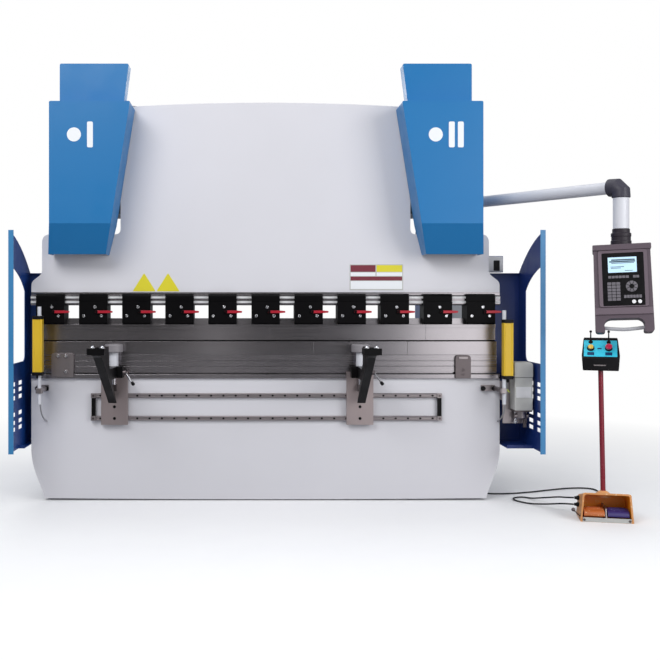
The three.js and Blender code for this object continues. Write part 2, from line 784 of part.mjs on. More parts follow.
// A grease pump in a grey box, on an angle plate bolted to the table's right end.
function lubricator() {
  const left = BED_HALF + GAP;
  const flange = block([left, left + 6], [-60, 60], [540, 640]);
  const backPlate = block([left, 1380], [-60, -54], [420, 700]);
  const box = prism(
    "y",
    outline([
      [1290, 490],
      [1386, 490],
      [1386, 748, 10],
      [1290, 748, 10],
    ]),
    [-150, -58],
    2,
  );
  const valve = rod([1338, -104, 450], [1338, -104, 493], 26, 12);
  const outlet = rod([1303, -104, 462], [1377, -104, 462], 13, 10);
  const elbow = rod([1356, -104, 405], [1356, -104, 462], 9, 10);
  const feed = rod([1311, -90, 425], [1311, -90, 493], 7, 8);
  return join(flange, backPlate, box, valve, outlet, elbow, feed);
}

function guardGroup() {
  for (const { word, side, guard } of SIDES) {
    piece(`side_guard_${word}`, sideGuard(side, guard), bluePaint());
    piece(`light_curtain_${word}`, lightCurtain(CURTAINS[word]), yellowPaint());
  }
  piece("lubricator", lubricator(), greyPlastic());
}

// ---- Sheet supports -----------------------------------------------------------------------

const TRACK = { left: -930, right: 940, upper: 562, lower: 441, railHalf: 12, depth: 20 };
const CARRIAGE_X = { left: -802, right: 501 };
const ARM_TURN = { left: -2.7, right: 0.8 }; // degrees, as the arms stand on their posts
const CARRIAGE_HALF = 71;
const POST_Y = -60;
const POST_RADIUS = 10;

function supportTrack() {
  const { left, right, upper, lower, railHalf, depth } = TRACK;
  const span = [-depth - GAP, -GAP];
  const barSpan = [-depth - 4 - GAP, -GAP];
  const rails = [upper, lower].map((z) =>
    block([left, right], span, [z - railHalf, z + railHalf]),
  );
  const bars = [left, right - 26].map((x) =>
    block([x, x + 26], barSpan, [lower - railHalf, upper + railHalf]),
  );
  return join(...rails, ...bars);
}

// A plate across both rails, and the post that the arm slides on.
function supportCarriage(x) {
  const back = -TRACK.depth - 2 * GAP;
  const plate = prism(
    "y",
    outline([
      [x - CARRIAGE_HALF, 409],
      [x + CARRIAGE_HALF, 409],
      [x + CARRIAGE_HALF, 690, 6],
      [x - CARRIAGE_HALF, 690, 6],
    ]),
    [back - 18, back],
    2,
  );
  const post = rod([x, POST_Y, 590], [x, POST_Y, 792], POST_RADIUS, 12);
  const postFoot = block([x - 16, x + 16], [POST_Y - 12, back - 10], [590, 625]);
  return join(plate, post, postFoot);
}

// The sloping web, the T-shaped nose with two balls, the block that clamps the post, the sleeve
// and the disc over the post's top, and the clamping handle. The arm is turned on its post.
function supportArm(x, turn) {
  const noseFront = -520;
  const noseBack = -435;
  const webBack = -300; // behind this the web leaves the top and slopes down to the post's block
  const top = 838;
  const rear = POST_Y - POST_RADIUS - 5;
  const blockBottom = 662;
  const blockTop = 722;
  const web = prism(
    "x",
    outline([
      [rear - 10, 531],
      [webBack + 75, blockBottom],
      [rear, blockBottom],
      [rear, blockTop],
      [webBack + 30, blockTop],
      [webBack, blockTop + 30],
      [webBack, top],
      [noseFront + 6, top],
      [noseFront + 6, top - 34],
      [noseFront + 46, top - 44],
      [rear - 24, 531],
    ]),
    [x - 22, x + 22],
  );
  const nose = block([x - 43, x + 43], [noseFront, noseBack], [top - 32, top]);
  const balls = [-24, 24].map((dx) => ball([x + dx, (noseFront + noseBack) / 2, top], 11, 10));
  const clampBlock = block(
    [x - 52, x + 52],
    [rear - 20, POST_Y + POST_RADIUS + 5],
    [blockBottom, blockTop],
  );
  const sleeve = rod([x, POST_Y, blockTop - 5], [x, POST_Y, top - 40], 24, 20);
  const disc = rod([x, POST_Y, top - 42], [x, POST_Y, top], 48, 32);
  const bore = rod([x, POST_Y, blockBottom - 10], [x, POST_Y, top - 14], POST_RADIUS + 0.6, 12);
  const hub = rod([x + 50, rear - 6, 690], [x + 74, rear - 6, 690], 11, 12);
  const handle = rod([x + 68, rear - 6, 690], [x + 112, rear - 26, 630], 6, 8);
  const handleEnd = ball([x + 112, rear - 26, 630], 10, 8);
  const grip = cut(join(clampBlock, sleeve, disc, web), bore);
  return join(grip, nose, ...balls, hub, handle, handleEnd)
    .translate(-x, -POST_Y, 0)
    .rotateZ(THREE.MathUtils.degToRad(turn))
    .translate(x, POST_Y, 0);
}

function supportGroup() {
  piece("support_track", supportTrack(), groundSteel());
  for (const { word } of SIDES) {
    piece(`support_carriage_${word}`, supportCarriage(CARRIAGE_X[word]), groundSteel());
    piece(`support_arm_${word}`, supportArm(CARRIAGE_X[word], ARM_TURN[word]), blackSteel());
  }
}

// ---- Pendant ------------------------------------------------------------------------------

// The hub on the bracket, the level tube, the elbow and the upright tube.
function pendantArm() {
  const pivot = [ARM_PIVOT.x, ARM_PIVOT.y];
  const corner = new THREE.Vector3(PENDANT.x, PENDANT.y, ARM_TUBE_Z);
  const hubTop = ARM_TUBE_Z + 45;
  const hub = rod([...pivot, ARM_PIVOT.z], [...pivot, hubTop], 46, 20);
  const tube = rod([...pivot, ARM_TUBE_Z], corner.toArray(), 30, 20);
  const towardsPivot = new THREE.Vector3(...pivot, ARM_TUBE_Z).sub(corner).normalize();
  const sleeveEnd = corner.clone().addScaledVector(towardsPivot, 58);
  const sleeve = rod(corner.toArray(), sleeveEnd.toArray(), 38, 20);
  const elbow = ball(corner.toArray(), 46, 24);
  const drop = rod([PENDANT.x, PENDANT.y, ARM_TUBE_Z - 53], corner.toArray(), 45, 20);
  const uprightBottom = PENDANT.top + PENDANT.socket;
  const upright = rod([PENDANT.x, PENDANT.y, uprightBottom], corner.toArray(), 37, 20);
  return join(hub, tube, sleeve, elbow, drop, upright);
}

const HOUSING = { topHalf: 125, bottomHalf: 129, height: 411, half: 55, arch: 345 };

// The housing hangs from its ribbed socket. It is drawn with its top at zero, then tilted.
function pendantHousing() {
  const { topHalf, bottomHalf, height, half, arch } = HOUSING;
  const footInner = 84;
  const bottomAt = -height;
  const face = outline([
    [-bottomHalf, bottomAt, 8],
    [-footInner, bottomAt, 8],
    [-footInner, -arch, 30],
    [footInner, -arch, 30],
    [footInner, bottomAt, 8],
    [bottomHalf, bottomAt, 8],
    [topHalf, 0, 8],
    [-topHalf, 0, 8],
  ]);
  const body = prism("y", face, [-half, half], 4);
  const recess = block([-96, 96], [-half - 10, -half + 4], [-289, -33]);
  const cap = block([-topHalf - 4, topHalf + 4], [-half - 4, half + 4], [-20, 6]);
  const handlePath = [
    [-footInner - 12, -10, bottomAt + 30],
    [-55, -12, bottomAt + 20],
    [0, -14, bottomAt + 14],
    [55, -12, bottomAt + 20],
    [footInner + 12, -10, bottomAt + 30],
  ];
  const handle = bentRod(handlePath, 7, 8, 16);
  const shape = join(cut(body, recess), cap, handle);
  shape.rotateY(PENDANT_ROLL).rotateX(PENDANT_TILT).rotateZ(PENDANT_TURN);
  shape.translate(PENDANT.x, PENDANT.y, PENDANT.top);
  const socketRings = [
    [0, -12],
    [46, -12],
    [46, 34],
    [43, 36],
    [43, 50],
    [45, 52],
    [45, 66],
    [39, 70],
    [39, PENDANT.socket - GAP],
    [0, PENDANT.socket - GAP],
  ].map(([radius, z]) => [radius, PENDANT.top + z]);
  return join(shape, turned(socketRings, PENDANT.x, PENDANT.y, 20));
}

function pendantGroup() {
  piece("pendant_arm", pendantArm(), groundSteel());
  piece("pendant_housing", pendantHousing(), housingPlastic());
}

// ---- Foot switch, pole and control box ----------------------------------------------------

// Drawn round the pole's axis, then turned as a group to face the operator.
const SWITCH = { front: -120, back: 40, bottomHalf: 122, topHalf: 109, wall: 6, floor: 9 };
const ROOF = { front: 140, back: 103 }; // heights: the roof falls towards the back
const PEDAL_PIVOT = { y: 0, z: 42 };

// Where each cord enters the foot switch, in the stand's own frame.
const SWITCH_GLANDS = [
  { start: [-109, -8, 92], end: [-136, -8, 92] },
  { start: [-112, -22, 62], end: [-139, -22, 62] },
  { start: [22, 34, 60], end: [22, 56, 60] },
];

function pedalHousing() {
  const { front, back, bottomHalf, topHalf, wall, floor } = SWITCH;
  const outer = outline([
    [-bottomHalf, 0],
    [bottomHalf, 0],
    [topHalf, ROOF.front, 12],
    [-topHalf, ROOF.front, 12],
  ]);
  const outerSide = outline([
    [front, 0],
    [back, 0],
    [back, ROOF.back],
    [front, ROOF.front],
  ]);
  const inner = outline([
    [-bottomHalf + wall + 1, floor],
    [bottomHalf - wall - 1, floor],
    [topHalf - wall, ROOF.front - wall, 8],
    [-topHalf + wall, ROOF.front - wall, 8],
  ]);
  const innerSide = outline([
    [front - 10, floor],
    [back - wall, floor],
    [back - wall, ROOF.back - wall + 1],
    [front, ROOF.front - wall],
    [front - 10, ROOF.front - wall],
  ]);
  const across = [-bottomHalf, bottomHalf];
  const box = cut(
    common(prism("y", outer, [front, back], 3), prism("x", outerSide, across)),
    common(prism("y", inner, [front - 10, back - wall], 3), prism("x", innerSide, across)),
  );
  const boss = rod([0, 0, 104], [0, 0, SWITCH_HEIGHT], 28, 16);
  const sill = block([-bottomHalf + 12, bottomHalf - 12], [front, front + 5], [0, 22]);
  const divider = block([-5, 1], [front + 2, back - 2], [floor - 1, 66]);
  const glands = SWITCH_GLANDS.map(({ start, end }) => rod(start, end, 9, 10));
  const knobStem = rod([-118, -100, 20], [-152, -108, 52], 3, 8);
  const knob = ball([-153, -108, 54], 9, 10);
  return join(box, boss, sill, divider, ...glands, knobStem, knob);
}

// A treadle on a pin near the back of the box.
function pedal(spanX) {
  const shape = outline([
    [SWITCH.front + 7, 26, 6],
    [PEDAL_PIVOT.y, PEDAL_PIVOT.z - 8],
    [PEDAL_PIVOT.y + 8, PEDAL_PIVOT.z + 8],
    [-40, 64, 14],
    [SWITCH.front + 7, 58, 10],
  ]);
  const treadle = prism("x", shape, spanX, 3);
  const pin = rod(
    [spanX[0], PEDAL_PIVOT.y, PEDAL_PIVOT.z],
    [spanX[1], PEDAL_PIVOT.y, PEDAL_PIVOT.z],
    8,
    12,
  );
  return join(treadle, pin);
}

function standPole() {
  const foot = SWITCH_HEIGHT + GAP;
  const rings = [
    [0, foot],
    [28, foot],
    [28, foot + 5],
    [12, foot + 9],
    [12, BOX_BOTTOM - GAP],
    [0, BOX_BOTTOM - GAP],
  ];
  return turned(rings, 0, 0, 16);
}

// The control panel's slope in (Y, Z), from its lower front edge to its upper back edge.
const SLOPE = {
  low: new THREE.Vector2(-52, 790),
  high: new THREE.Vector2(12, 876),
};
const slopeRun = SLOPE.high.clone().sub(SLOPE.low).normalize();
const SLOPE_NORMAL = new THREE.Vector2(-slopeRun.y, slopeRun.x);
const CONTROL_X = { left: -46, right: 37 };
const BUTTON_UP = 54; // from the slope's lower edge
const STALK_UP = 90;
const COLLAR_TOP = 5; // off the slope
const BUTTON_TRAVEL = 4;
const STEM_RADIUS = 10;

// A point above the slope: how far up it, and how far off it.
function overSlope(x, along, off) {
  const point = SLOPE.low
    .clone()
    .addScaledVector(slopeRun, along)
    .addScaledVector(SLOPE_NORMAL, off);
  return [x, point.x, point.y];
}

function controlBox() {
  const side = outline([
    [-44, BOX_BOTTOM, 6],
    [40, BOX_BOTTOM, 6],
    [40, 884, 8],
    [SLOPE.high.x + 4, 884],
    [SLOPE.high.x, SLOPE.high.y],
    [SLOPE.low.x, SLOPE.low.y],
  ]);
  const front = outline([
    [-83, BOX_BOTTOM],
    [83, BOX_BOTTOM],
    [88, 800],
    [79, 884, 8],
    [-79, 884, 8],
    [-88, 800],
  ]);
  const body = common(prism("x", side, [-110, 110], 3), prism("y", front, [-60, 60], 3));
  const controls = [CONTROL_X.left, CONTROL_X.right];
  const collars = controls.map((x) =>
    rod(overSlope(x, BUTTON_UP, -4), overSlope(x, BUTTON_UP, COLLAR_TOP), 17, 16),
  );
  const wells = controls.map((x) =>
    rod(overSlope(x, BUTTON_UP, 0), overSlope(x, BUTTON_UP, COLLAR_TOP + 1), STEM_RADIUS + 1, 16),
  );
  const sockets = controls.map((x) =>
    rod(overSlope(x, STALK_UP, -6), overSlope(x, STALK_UP, COLLAR_TOP), 9, 12),
  );
  return cut(join(body, ...collars, ...sockets), ...wells);
}

// The head's top is at the given height off the slope.
function pushButton(x, height, radius) {
  const stemEnd = BUTTON_TRAVEL + GAP;
  const stem = rod(
    overSlope(x, BUTTON_UP, stemEnd),
    overSlope(x, BUTTON_UP, height - 5),
    STEM_RADIUS,
    16,
  );
  const headBottom = overSlope(x, BUTTON_UP, height - 9);
  const head = rod(headBottom, overSlope(x, BUTTON_UP, height), radius, 16);
  return join(stem, head);
}

function stalkLever(x) {
  const rootRadius = 5;
  const [, rootY, rootZ] = overSlope(x, STALK_UP, COLLAR_TOP + GAP + rootRadius);
  const knobZ = 916;
  const root = ball([x, rootY, rootZ], rootRadius, 10);
  const stalk = rod([x, rootY, rootZ], [x, rootY, knobZ - 2], 2.5, 8);
  const knob = ball([x, rootY, knobZ], 6, 10);
  return join(root, stalk, knob);
}

// The foot switch and the head on its pole are turned separately.
function standGroup() {
  const stand = new THREE.Group();
  stand.position.set(STAND.x, STAND.y, 0);
  stand.rotation.z = STAND.turn;
  machine.add(stand);
  const head = new THREE.Group();
  head.position.set(CONTROL_HEAD.x, STAND.y, 0);
  head.rotation.z = CONTROL_HEAD.turn;
  machine.add(head);
  piece("pedal_housing", pedalHousing(), orangePaint(), stand);
  piece("pedal_left", pedal([-103, -9]), orangePaint(), stand);
  piece("pedal_right", pedal([5, 103]), violetPaint(), stand);
  piece("stand_pole", standPole(), maroonPaint(), stand);
  piece("control_box", controlBox(), blackPlastic(), head);
  piece("start_button", pushButton(CONTROL_X.left, 20, 13), yellowPaint(), head);
  piece("stop_button", pushButton(CONTROL_X.right, 24, 16), redPlastic(), head);
  piece("stalk_lever_left", stalkLever(CONTROL_X.left), blackPlastic(), head);
  piece("stalk_lever_right", stalkLever(CONTROL_X.right), blackPlastic(), head);
}

// ---- Electrical cabinet -------------------------------------------------------------------

const CABINET = { inner: FRAME_OUTER + GAP, outer: 1330, front: 640, back: 1200 };
const CABINET_Z = [350, 1150];

function electricalCabinet() {
  const wall = 8;
  const { inner, outer, front, back } = CABINET;
  const box = cut(
    block([inner, outer], [front, back], CABINET_Z),
    block(
      [inner + wall, outer + 10],
      [front + wall, back - wall],
      [CABINET_Z[0] + wall, CABINET_Z[1] - wall],
    ),
  );
  const mountingPlate = block(
    [inner + wall - 1, inner + wall + 6],
    [front + 40, back - 40],
    [CABINET_Z[0] + 40, CABINET_Z[1] - 40],
  );
  const rows = [950, 740, 520].map((z) =>
    block([inner + wall, inner + wall + 85], [front + 70, back - 70], [z - 45, z + 45]),
  );
  return join(box, mountingPlate, ...rows);
}

function cabinetDoor() {
  const { outer, front, back } = CABINET;
  const leaf = block([outer + GAP, outer + 20], [front, back], CABINET_Z);
  const hinge = rod(
    [outer + 12, back + 6, CABINET_Z[0] + 60],
    [outer + 12, back + 6, CABINET_Z[1] - 60],
    8,
    10,
  );
  const leafEdge = block(
    [outer + 8, outer + 20],
    [back - 1, back + 4],
    [CABINET_Z[0] + 60, CABINET_Z[1] - 60],
  );
  const lock = rod([outer + 15, front + 40, 760], [outer + 28, front + 40, 760], 14, 12);
  return join(leaf, leafEdge, hinge, lock);
}

// ---- Back gauge ---------------------------------------------------------------------------

const GAUGE = { railX: 620, railTop: 700, back: 900, beamFront: 480, beamBack: 560 };

// Two rails along Y, held by a cross member on the back of the table and one at the rear.
function gaugeGuide() {
  const { railX, railTop, back } = GAUGE;
  const front = 100 + GAP;
  const rails = [-railX, railX].map((x) =>
    block([x - 30, x + 30], [front, back], [railTop - 60, railTop]),
  );
  const tie = block([-railX - 30, railX + 30], [front + 20, front + 60], [570, railTop - 50]);
  const tableFlange = block(
    [-railX - 30, railX + 30],
    [TABLE_THICK + GAP, front + 25],
    [570, 640],
  );
  const rearTie = block(
    [-FRAME_INNER + GAP, FRAME_INNER - GAP],
    [back - 40, back],
    [railTop - 140, railTop - 40],
  );
  return join(...rails, tie, tableFlange, rearTie);
}

function gaugeBeam() {
  const { railX, railTop, beamFront, beamBack } = GAUGE;
  const beam = block([-860, 860], [beamFront, beamBack], [railTop + 20, railTop + 100]);
  const runners = [-railX, railX].map((x) =>
    block([x - 45, x + 45], [beamFront - 30, beamBack + 30], [railTop + GAP, railTop + 40]),
  );
  return join(beam, ...runners);
}

// A finger slides on the beam and reaches forward over the height of the die.
function gaugeFinger(x) {
  const base = GAUGE.railTop + 100 + GAP;
  const saddle = block([x - 45, x + 45], [GAUGE.beamFront - 20, GAUGE.beamBack], [base, base + 50]);
  const reach = block([x - 22, x + 22], [300, GAUGE.beamFront], [base + 30, base + 62]);
  const tip = block([x - 30, x + 30], [280, 320], [base + 40, base + 78]);
  return join(saddle, reach, tip);
}

function rearGroup() {
  piece("electrical_cabinet", electricalCabinet(), greyPlastic());
  piece("cabinet_door", cabinetDoor(), greyPlastic());
  piece("backgauge_guide", gaugeGuide(), groundSteel());
  piece("backgauge_beam", gaugeBeam(), groundSteel());
  piece("backgauge_finger_left", gaugeFinger(-450), groundSteel());
  piece("backgauge_finger_right", gaugeFinger(450), groundSteel());
}

// ---- Cords --------------------------------------------------------------------------------

// From the gland on the right frame, over the floor and round to the back of the foot switch.
const PEDAL_CABLE = [
  [1104, 200, 60],
  [1124, 199, 57],
  [1145, 195, 34],
  [1175, 181, 8],
  [1225, 158, 5],
  [1330, 152, 5],
  [1474, 194, 5],
  [1600, 252, 5],
  [1715, 297, 5],
  [1800, 306, 5],
  [1850, 280, 5],
  [1858, 200, 5],
  [1835, 90, 5],
  [1785, -50, 5],
  [1735, -180, 8],
  [1710, -260, 34],
  [1698, -312, 58],
  [1693.6, -333.2, 60],
];

// A loop that leaves the foot switch's left wall and comes back to it.
const LOOP_CABLE = [
  [1523.6, -364.1, 92],
  [1506, -357, 91],
  [1494, -320, 84],
  [1490, -240, 69],
  [1462, -100, 36],
  [1429, 30, 6],
  [1388, 62, 5],
  [1343, 42, 5],
  [1328, 0, 5],
  [1345, -52, 5],
  [1388, -100, 5],
  [1440, -190, 22],
  [1478, -290, 46],
  [1486, -352, 59],
  [1500, -372, 62],
  [1517.8, -377.2, 62],
];

function cordGroup() {
  piece("pedal_cable", bentRod(PEDAL_CABLE, CORD_RADIUS, 8, 76), cordRubber());
  piece("loop_cable", bentRod(LOOP_CABLE, CORD_RADIUS, 8, 60), cordRubber());
}

// ---- The whole ----------------------------------------------------------------------------

ramGroup();
frameGroup();
hydraulicsGroup();
guardGroup();
supportGroup();
pendantGroup();
standGroup();
rearGroup();

// The origin is on the floor, in the middle of the footprint of everything but the cords.
const middle = new THREE.Box3().setFromObject(machine, true).getCenter(new THREE.Vector3());
cordGroup();
machine.position.set(-middle.x, -middle.y, 0);

const pressBrake = new THREE.Group();
pressBrake.add(machine);

export default pressBrake;
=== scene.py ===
"""The looks of a hydraulic press brake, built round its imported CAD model, for Blender 4.5."""

import math

import bmesh
import bpy
from mathutils import Matrix, Vector


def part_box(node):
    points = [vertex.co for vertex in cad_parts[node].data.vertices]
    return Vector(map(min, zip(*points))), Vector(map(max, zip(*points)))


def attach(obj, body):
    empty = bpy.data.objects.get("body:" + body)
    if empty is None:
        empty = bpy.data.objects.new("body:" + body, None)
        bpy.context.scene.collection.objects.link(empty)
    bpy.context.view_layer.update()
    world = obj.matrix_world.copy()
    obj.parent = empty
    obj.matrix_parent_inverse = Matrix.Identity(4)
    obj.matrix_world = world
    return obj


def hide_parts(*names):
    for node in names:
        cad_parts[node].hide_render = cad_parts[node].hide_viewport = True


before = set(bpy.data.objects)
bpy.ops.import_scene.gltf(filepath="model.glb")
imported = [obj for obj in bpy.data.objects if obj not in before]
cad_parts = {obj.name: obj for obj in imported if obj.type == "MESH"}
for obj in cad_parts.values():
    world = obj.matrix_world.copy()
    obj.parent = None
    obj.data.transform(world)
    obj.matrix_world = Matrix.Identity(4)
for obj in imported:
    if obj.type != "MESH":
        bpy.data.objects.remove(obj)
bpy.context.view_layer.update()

# ---- Places ----

MM = 0.001
ram_low, ram_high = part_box("ram_beam")
# The machine's own frame, in millimetres: X = 0 in the middle of the bed, Y = 0 at the ram's front.
MACHINE = (
    Matrix.Translation(((ram_low.x + ram_high.x) / 2, ram_low.y, 0)) @ Matrix.Scale(MM, 4)
)


def moved(place, point, *turns):
    """A place moved to one of its own points, then turned by each (degrees, axis) in order."""
    place = place @ Matrix.Translation(point)
    for degrees, axis in turns:
        place = place @ Matrix.Rotation(math.radians(degrees), 4, axis)
    return place


# The pole's axis, turned to face the operator, with its origin on the floor.
STAND = moved(MACHINE, (1660, -385, 0), (-12, "Z"))
# The control box on the pole, turned a little further.
HEAD = moved(MACHINE, (1648, -385, 0), (-20, "Z"))
# The middle of the pendant's top, turned to the operator, leaning back and a little to one side.
PENDANT_TOP = (1690, -533, 1323)
PENDANT = moved(MACHINE, PENDANT_TOP, (-20, "Z"), (-7, "X"), (-2, "Y"))
SIDES = {"left": -1, "right": 1}
CLAMPS = 11
CLAMP_PITCH = 228.5
UP = (0, 0, 1)
TO_FRONT = (0, -1, 0)


def at(x, y, z):
    """A point of the machine's own frame, in millimetres, as one of the row frame."""
    return MACHINE @ Vector((x, y, z))


def span(node):
    """A CAD node's lowest and highest corner in the machine's own frame, in millimetres."""
    back = MACHINE.inverted()
    low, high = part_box(node)
    return back @ low, back @ high


def new_object(name, data):
    """An object that holds the data, in the scene."""
    made = bpy.data.objects.new(name, data)
    bpy.context.scene.collection.objects.link(made)
    return made


# ---- Camera and light ----


def make_camera():
    data = bpy.data.cameras.new("camera")
    data.lens = 51
    data.shift_x = 0.121
    data.shift_y = -0.045
    camera = new_object("camera", data)
    camera.location = at(-82, -5000, 1070)
    camera.rotation_euler = (math.radians(90), 0, 0)
    bpy.context.scene.camera = camera


def area_light(name, place, target, size, power, color=(1, 1, 1)):
    data = bpy.data.lights.new(name, "AREA")
    data.shape = "RECTANGLE"
    data.size, data.size_y = size
    data.energy = power
    data.color = color
    light = new_object(name, data)
    light.location = at(*place)
    aim = at(*target) - light.location
    light.rotation_euler = aim.to_track_quat("-Z", "Y").to_euler()
    light.visible_camera = False


def make_lights():
    area_light("key", (-2300, -4200, 4300), (-100, 0, 1000), (3.0, 2.2), 146)
    area_light("fill", (3600, -3600, 2100), (300, 0, 800), (2.4, 2.4), 92)
    area_light("top", (0, 300, 5200), (0, 0, 1000), (4.5, 3.0), 75)
    area_light("back", (-600, 5200, 3400), (0, 500, 1000), (4.0, 2.5), 75)


def make_world():
    world = bpy.data.worlds.new("studio")
    world.use_nodes = True
    tree = world.node_tree
    seen = tree.nodes["Background"]
    seen.inputs["Color"].default_value = (1, 1, 1, 1)
    seen.inputs["Strength"].default_value = 1.0
    lighting = tree.nodes.new("ShaderNodeBackground")
    lighting.inputs["Color"].default_value = (0.93, 0.96, 1, 1)
    lighting.inputs["Strength"].default_value = 0.48
    ray = tree.nodes.new("ShaderNodeLightPath")
    choice = tree.nodes.new("ShaderNodeMixShader")
    tree.links.new(ray.outputs["Is Camera Ray"], choice.inputs[0])
    tree.links.new(lighting.outputs[0], choice.inputs[1])
    tree.links.new(seen.outputs[0], choice.inputs[2])
    tree.links.new(choice.outputs[0], tree.nodes["World Output"].inputs["Surface"])
    bpy.context.scene.world = world
    bpy.context.scene.view_settings.view_transform = "Standard"


def flat_plane(name, corners, material):
    data = bpy.data.meshes.new(name)
    data.from_pydata([tuple(corner) for corner in corners], [], [tuple(range(len(corners)))])
    data.materials.append(material)
    plane = new_object(name, data)
    return plane


def gloss_card(name, xs, zs, y, brightness):
    """An upright card in front of the machine that shows only in glossy reflections."""
    finish = Finish(name, 1.0)
    glow = finish.add("ShaderNodeEmission")
    glow.inputs["Strength"].default_value = brightness
    finish.link(glow.outputs[0], finish.tree.nodes["Material Output"].inputs["Surface"])
    (left, right), (low, high) = xs, zs
    corners = [at(left, y, low), at(right, y, low), at(right, y, high), at(left, y, high)]
    card = flat_plane(name, corners, finish.material)
    card.visible_camera = False
    card.visible_diffuse = False
    card.visible_shadow = False


def floor_plane(name, z, material):
    half = 30
    corners = [(-half, -half, z), (half, -half, z), (half, half, z), (-half, half, z)]
    return flat_plane(name, corners, material)


def make_stage():
    """A white floor for the camera with a greyer one under it for the light that bounces, and the
    cards that the steel reflects."""
    finish = Finish("floor_pale", 0.6)
    finish.color(finish.mix(finish.noise(6), rgb(246, 246, 248), rgb(250, 250, 251)))
    fade_start, fade_end = 1.7, 4.2
    reach = finish.add("ShaderNodeVectorMath", operation="LENGTH")
    finish.link(finish.position, reach.inputs[0])
    far = finish.range(reach.outputs["Value"], 0, 1, fade_start, fade_end)
    white = finish.add("ShaderNodeEmission")
    fade = finish.add("ShaderNodeMixShader")
    finish.link(far, fade.inputs[0])
    finish.link(finish.shader.outputs[0], fade.inputs[1])
    finish.link(white.outputs[0], fade.inputs[2])
    finish.link(fade.outputs[0], finish.tree.nodes["Material Output"].inputs["Surface"])
    seen = floor_plane("floor", 0, finish.material)
    seen.visible_diffuse = False
    seen.visible_glossy = False
    seen.visible_shadow = False

    finish = Finish("floor_grey", 0.7)
    finish.color(finish.mix(finish.noise(6), rgb(150, 150, 153), rgb(160, 160, 163)))
    just_under = -0.002
    bounce = floor_plane("floor_bounce", just_under, finish.material)
    bounce.visible_camera = False

    gloss_card("card_dark", (-7000, 1150), (20, 6000), -5600, 0.035)
    gloss_card("card_left", (-2500, -1250), (20, 2600), -4400, 0.12)
    gloss_card("card_middle", (-560, -300), (20, 2600), -4400, 0.75)
    gloss_card("card_right", (1350, 2900), (20, 2400), -3000, 1.6)


# ---- Materials ----


def rgb(red, green, blue):
    """A colour as a screen shows it, 0 to 255 each, in linear values."""

    def linear(value):
        share = value / 255
        return share / 12.92 if share <= 0.04045 else ((share + 0.055) / 1.055) ** 2.4

    return (linear(red), linear(green), linear(blue), 1.0)


def shade(color, share):
    return tuple(min(1.0, part * share) for part in color[:3]) + (1.0,)


class Finish:
    """A procedural material round one Principled shader, its textures in the row frame."""

    def __init__(self, name, roughness, metallic=0.0, **constants):
        self.material = bpy.data.materials.new(name)
        self.material.use_nodes = True
        self.tree = self.material.node_tree
        self.shader = self.tree.nodes["Principled BSDF"]
        self.shader.inputs["Roughness"].default_value = roughness
        self.shader.inputs["Metallic"].default_value = metallic
        for socket, value in constants.items():
            self.shader.inputs[socket.replace("_", " ")].default_value = value
        self.position = self.add("ShaderNodeTexCoord").outputs["Object"]

    def add(self, kind, **settings):
        node = self.tree.nodes.new(kind)
        for key, value in settings.items():
            setattr(node, key, value)
        return node

    def link(self, output, target):
        self.tree.links.new(output, target)

    def noise(self, scale, stretch=(1, 1, 1), detail=3.0, distortion=0.0):
        mapping = self.add("ShaderNodeMapping")
        mapping.inputs["Scale"].default_value = stretch
        self.link(self.position, mapping.inputs["Vector"])
        noise = self.add("ShaderNodeTexNoise")
        noise.inputs["Scale"].default_value = scale
        noise.inputs["Detail"].default_value = detail
        noise.inputs["Distortion"].default_value = distortion
        self.link(mapping.outputs["Vector"], noise.inputs["Vector"])
        return noise.outputs["Fac"]

    def range(self, value, low, high, start=0.3, end=0.7):
        node = self.add("ShaderNodeMapRange")
        node.inputs["From Min"].default_value = start
        node.inputs["From Max"].default_value = end
        node.inputs["To Min"].default_value = low
        node.inputs["To Max"].default_value = high
        self.link(value, node.inputs["Value"])
        return node.outputs["Result"]

    def axis(self, name):
        node = self.add("ShaderNodeSeparateXYZ")
        self.link(self.position, node.inputs[0])
        return node.outputs[name]

    def normal(self, name):
        node = self.add("ShaderNodeSeparateXYZ")
        self.link(self.add("ShaderNodeNewGeometry").outputs["Normal"], node.inputs[0])
        return node.outputs[name]

    def mix(self, factor, first, second):
        node = self.add("ShaderNodeMix", data_type="RGBA")
        self.link(factor, node.inputs["Factor"])
        for slot, color in ((6, first), (7, second)):
            if isinstance(color, bpy.types.NodeSocket):
                self.link(color, node.inputs[slot])
            else:
                node.inputs[slot].default_value = color
        return node.outputs[2]

    def shades(self, factor, color, low, high):
        """Two shades of one colour, as shares of it, mixed by the factor."""
        return self.mix(factor, shade(color, low), shade(color, high))

    def color(self, output):
        self.link(output, self.shader.inputs["Base Color"])

    def roughness(self, output):
        self.link(output, self.shader.inputs["Roughness"])

    def bump(self, height, strength, distance):
        node = self.add("ShaderNodeBump")
        node.inputs["Strength"].default_value = strength
        node.inputs["Distance"].default_value = distance
        self.link(height, node.inputs["Height"])
        self.link(node.outputs["Normal"], self.shader.inputs["Normal"])


def sprayed(finish, low, high):
    """The material with an enamel's dull patches, between two roughnesses, and its orange peel."""
    finish.roughness(finish.range(finish.noise(9, detail=4.0), low, high))
    finish.bump(finish.noise(330, detail=2.0), 0.05, 0.0005)
    return finish.material


def paint(name, color, roughness=0.4, coat=0.15, specular=0.5):
    """Sprayed enamel with faint clouds in its colour."""
    finish = Finish(name, roughness, Coat_Weight=coat, Coat_Roughness=0.25,
                    Specular_IOR_Level=specular)
    finish.color(finish.shades(finish.noise(1.6, detail=5.0), color, 0.95, 1.03))
    return sprayed(finish, roughness - 0.06, roughness + 0.09)


